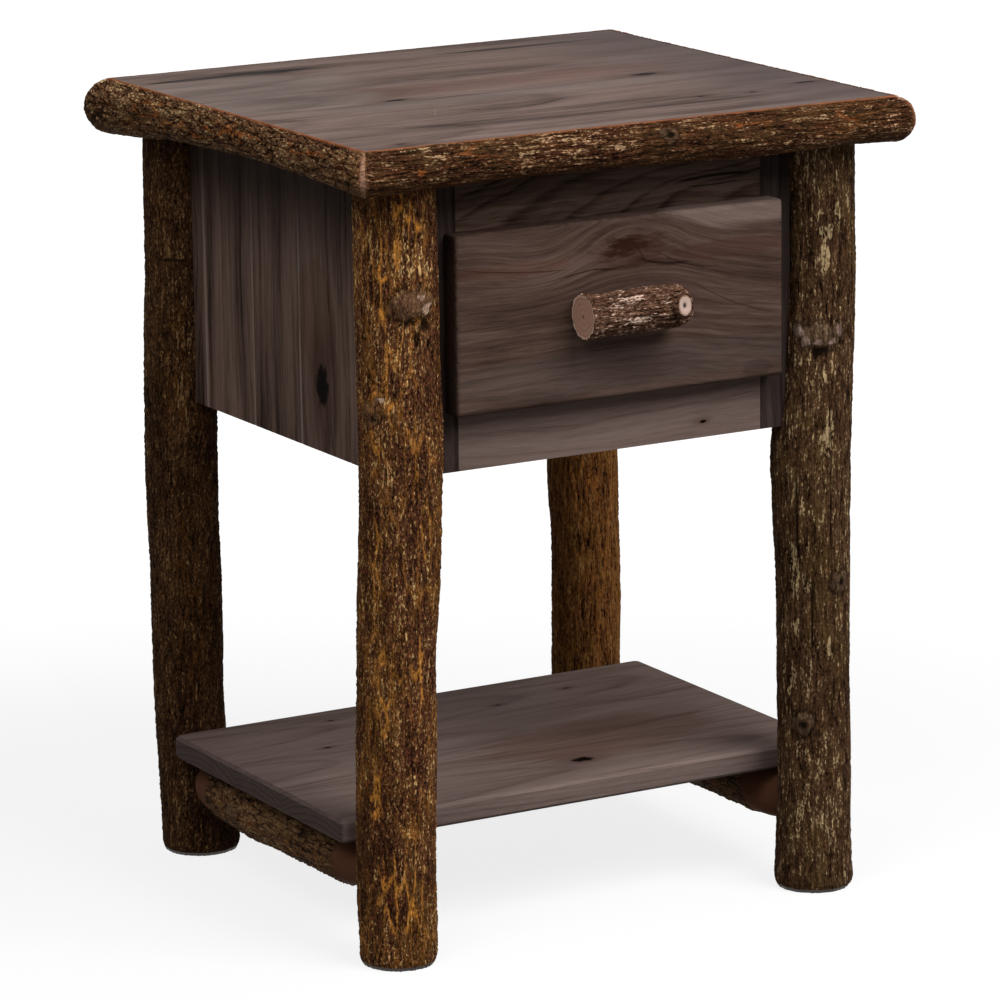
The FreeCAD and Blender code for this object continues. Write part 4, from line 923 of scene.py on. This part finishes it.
SIDE_FEATURES = (
    ("knot", 446, -61, 21, 12), ("crack", 505, -75, 535, -74, 1, 1.2, (16, 10, 9), 0.8),
    ("crack", 396, -77, 420, -76, 1, 0.9, (16, 10, 9), 0.8),
    # Painted highlights: the pale lines at the seams at 142, 57 and -24.3 stand for light on the staves'
    # eased edges.
    ("crack", 472, -53, 496, -52, 0.6, 0.8, (16, 10, 9), 0.7), ("line", 142, 1.9, (150, 134, 124), 0.75),
    ("line", 57, 1.9, (150, 134, 124), 0.7), ("line", -24.3, 1.9, (150, 134, 124), 0.75),
    ("line", 92, 1.2, (128, 112, 102), 0.3), ("line", -90, 0.8, (50, 36, 31), 0.5),
    # Painted shade: the fade darkens the staves from 500 mm up to the top at 640, as the shadow under the
    # overhanging top.
    ("line", 20, 0.7, (50, 36, 31), 0.4), ("fade", 500, 640, (34, 25, 21), 0.8),
    ("patch", 500, -52, 60, 40, (84, 62, 50), 0.45))
# The right side staves get only the lines, the pale painted highlights at the seams among them.
SIDE_LINES = tuple(feature for feature in SIDE_FEATURES if feature[0] == "line")
for side, first_seed, features in (("left", 20, SIDE_FEATURES), ("right", 60, SIDE_LINES)):
    for number, pith_place in enumerate((-60, -40, 10, 90, 160), start=1):
        stain(f"side_stave_{side}_{number}", "z side", first_seed + number * 3,
              ((48, 35, 29), (98, 78, 68), (126, 103, 92)), (pith_place, 60), features, rings=0.35,
              roughness=0.44, contrast=1.25)
BACK_KNOTS = {2: (("knot", 470, -20, 9, 6),), 4: (("knot", 470, 150, 9, 6),)}
for number, pith_place in enumerate((-120, -50, 60, 130), start=1):
    stain(f"back_stave_{number}", "z front", 90 + number * 5, ((58, 43, 37), (98, 78, 69), (124, 102, 92)),
          (pith_place, 60), BACK_KNOTS.get(number, ()), roughness=0.44)

stain("rail_top", "x upright", 61, ((40, 28, 23), (82, 64, 54), (112, 92, 80)), (560, 26),
      (("crack", 58, 600, 132, 603, 2, 1.6, (14, 9, 8), 0.9),
       ("crack", 70, 596, 120, 597, -1, 0.9, (14, 9, 8), 0.8)),
      tilt=0.08, spacing=4.0, rings=0.4, wild=1.5, contrast=1.3)
stain("rail_bottom", "x upright", 67, ((80, 63, 57), (114, 96, 89), (136, 118, 110)), (380, 50),
      (("knot", 85, 405, 4, 1.6),), spacing=5.5, rings=0.12, contrast=0.7)
stain("stile_left", "z front", 71, ((32, 24, 22), (60, 48, 45), (84, 70, 65)), (-120, 40), spacing=4.5)
stain("stile_right", "z front", 73, ((28, 21, 20), (52, 42, 39), (74, 62, 58)), (120, 40), spacing=4.5)
DRAWER_FEATURES = (
    ("arch", 4, 60, 20, 470, 560), ("arch", -64, 46, -7, 485, 560), ("slope", 50, 0.13),
    ("knot", 8, 556, 15, 8), ("patch", 116, 592, 92, 30, (134, 114, 105), 0.95),
    ("patch", 100, 548, 70, 9, (74, 50, 42), 0.6), ("patch", -92, 550, 66, 8, (96, 68, 57), 0.5),
    ("stain", 6, 558, 56, 20, (62, 42, 35), 0.7), ("stain", 2, 560, 26, 14, (42, 24, 18), 0.9),
    ("crack", -58, 538, 0, 541, 3, 0.7, (30, 19, 15), 0.8),
    ("crack", 12, 549, 62, 541, -3, 1.5, (30, 19, 15), 0.8),
    ("crack", 8, 561, 22, 542, 3, 1.6, (36, 20, 15), 0.7),
    ("crack", 30, 552, 90, 534, -4, 0.8, (42, 27, 22), 0.6),
    ("crack", 60, 527, 150, 490, -6, 0.8, (46, 31, 26), 0.6),
    ("crack", -150, 556, -48, 545, -2, 0.7, (52, 28, 22), 0.7), ("patch", 125, 448, 16, 8, (60, 47, 43), 0.5),
    ("patch", 0, 462, 190, 20, (86, 74, 70), 0.4))
stain("drawer_front", "x upright", 79, ((44, 30, 24), (82, 64, 56), (110, 90, 81)), (430, 60),
      DRAWER_FEATURES, spacing=6.0, rings=0.13, roughness=0.5, wild=0.7, heart_share=0.0)

SHELF_PATCH = ("patch", 70, -34, 120, 56, (96, 68, 58), 0.5)
SHELF_FEATURES = {
    "shelf_board_front": (("knot", 24, -86, 12, 7), SHELF_PATCH),
    "shelf_board_middle": (SHELF_PATCH,),
    "shelf_board_rear": (("knot", -136, 58, 4, 2), ("knot", 126, 113, 4, 1.6), ("knot", 49, 97, 4, 1.6),
                         ("knot", -95, 130, 4, 1.6)),
}
for number, (board_name, features) in enumerate(SHELF_FEATURES.items()):
    stain(board_name, "x flat", 41 + number, ((78, 62, 57), (114, 97, 91), (138, 120, 113)),
          ((-100, 20, 110)[number], 40), features, tilt=0.03, rings=0.22, contrast=0.65)

RAW_BOARDS = ("drawer_side_left", "drawer_side_right", "drawer_box_front", "drawer_box_rear", "drawer_bottom",
              "top_cleat_left", "top_cleat_right", "top_cleat_rear", "guide_block_left", "guide_block_right",
              "drawer_runner_left", "drawer_runner_right")
for number, board_name in enumerate(RAW_BOARDS):
    low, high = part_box(board_name)
    spans = [high[axis] - low[axis] for axis in range(3)]
    grain = ("x upright", "y side", "z side")[spans.index(max(spans))]
    if board_name == "drawer_bottom":
        grain = "x flat"
    dress(board_name, board_paint(
        board_name + "_wood", grain, 120 + number * 3, ((176, 132, 86), (204, 164, 114), (222, 186, 138)),
        (number * 17 - 60, 40), spacing=4.0, rings=0.35, roughness=0.5, contrast=0.7))
steel = steel_paint("screw_steel")
for screw_name in ("cleat_screws", "shelf_screws", "runner_screws", "drawer_front_screws", "pull_screws"):
    dress(screw_name, steel)

# Boards get eased edges
for node_name, node in nodes.items():
    if node_name.startswith(("top_plank", "rail_", "stile_", "drawer_side", "drawer_box", "top_cleat",
                             "guide_block", "drawer_runner")):
        ease = node.modifiers.new("eased_edges", "BEVEL")
        ease.width = 0.0004 if node_name.startswith("top_plank") else 0.0008
        ease.segments = 2
        ease.limit_method = "ANGLE"
        ease.angle_limit = math.radians(50)


# Floor, light and camera. The floor glows only for the camera and reflections.
FLOOR_HALF = 30.0
FADE_DISTANCE = 4.0
floor_mesh = bpy.data.meshes.new("floor")
floor_mesh.from_pydata([(x * FLOOR_HALF, y * FLOOR_HALF, 0) for x, y in ((-1, -1), (1, -1), (1, 1), (-1, 1))],
                       [], [(0, 1, 2, 3)])
floor = add_object("floor", floor_mesh)
paint = Paint("pale_floor")
surface = paint.add("BsdfDiffuse", {"Color": (0.2, 0.2, 0.2, 1.0)})
far = paint.give(paint.add("VectorMath", {0: paint.place()}, operation="LENGTH"), "Value")
fade = (far / FADE_DISTANCE).step(0.1, 0.45, smooth=True)
path = paint.add("LightPath")
camera_ray, glossy_ray, through_ray = (
    paint.give(path, output) for output in ("Is Camera Ray", "Is Glossy Ray", "Is Transmission Ray"))
seen = paint.math("MAXIMUM", paint.math("MAXIMUM", camera_ray, glossy_ray), through_ray)
glow = paint.add("Emission", {"Color": (255, 255, 255), "Strength": seen * (fade * 0.18 + 0.82)})
both = paint.add("AddShader", {0: paint.give(surface), 1: paint.give(glow)})
paint.add("OutputMaterial", {"Surface": paint.give(both)})
floor_mesh.materials.append(paint.material)

world = bpy.data.worlds.new("studio")
world.use_nodes = True
bpy.context.scene.world = world
world.node_tree.nodes.clear()
sky = world.node_tree.nodes.new("ShaderNodeBackground")
sky.inputs["Color"].default_value = (1, 1, 1, 1)
sky.inputs["Strength"].default_value = 0.19
sky_output = world.node_tree.nodes.new("ShaderNodeOutputWorld")
world.node_tree.links.new(sky.outputs[0], sky_output.inputs["Surface"])

LIGHTS = {
    # Place, aim, size and power in watts
    "key_light": ((0.9, -2.3, 2.95), (0.0, 0.0, 0.4), 2.2, 106.0),
    "left_light": ((-2.4, -1.6, 3.2), (0.0, 0.0, 0.35), 1.8, 46.0),
    "right_light": ((2.6, -0.8, 1.4), (0.0, 0.0, 0.35), 1.2, 7.0),
}
for light_name, (place, aim, size, power) in LIGHTS.items():
    lamp = bpy.data.lights.new(light_name, "AREA")
    lamp.size = size
    lamp.energy = power
    lamp_object = add_object(light_name, lamp)
    lamp_object.location = place
    lamp_object.rotation_euler = (Vector(aim) - Vector(place)).to_track_quat("-Z", "Y").to_euler()

CAMERA_PLACE = (-2.14156, -3.76163, 1.33588)
SENSOR_WIDTH = 36.0
FOCAL_PIXELS, PICTURE_PIXELS = 5393.95, 1000.0
yaw, pitch, roll = (math.radians(value) for value in (-29.64, -13.26, -0.78))
camera_data = bpy.data.cameras.new("camera")
camera_data.sensor_width = SENSOR_WIDTH
camera_data.lens = SENSOR_WIDTH * FOCAL_PIXELS / PICTURE_PIXELS
camera_data.clip_end = 100.0
camera = add_object("camera", camera_data)
camera.matrix_world = (Matrix.Translation(CAMERA_PLACE) @ Matrix.Rotation(yaw, 4, "Z")
                       @ Matrix.Rotation(math.pi / 2 + pitch, 4, "X") @ Matrix.Rotation(roll, 4, "Z"))
bpy.context.scene.camera = camera
bpy.context.scene.view_settings.view_transform = "Standard"

bpy.context.view_layer.update()
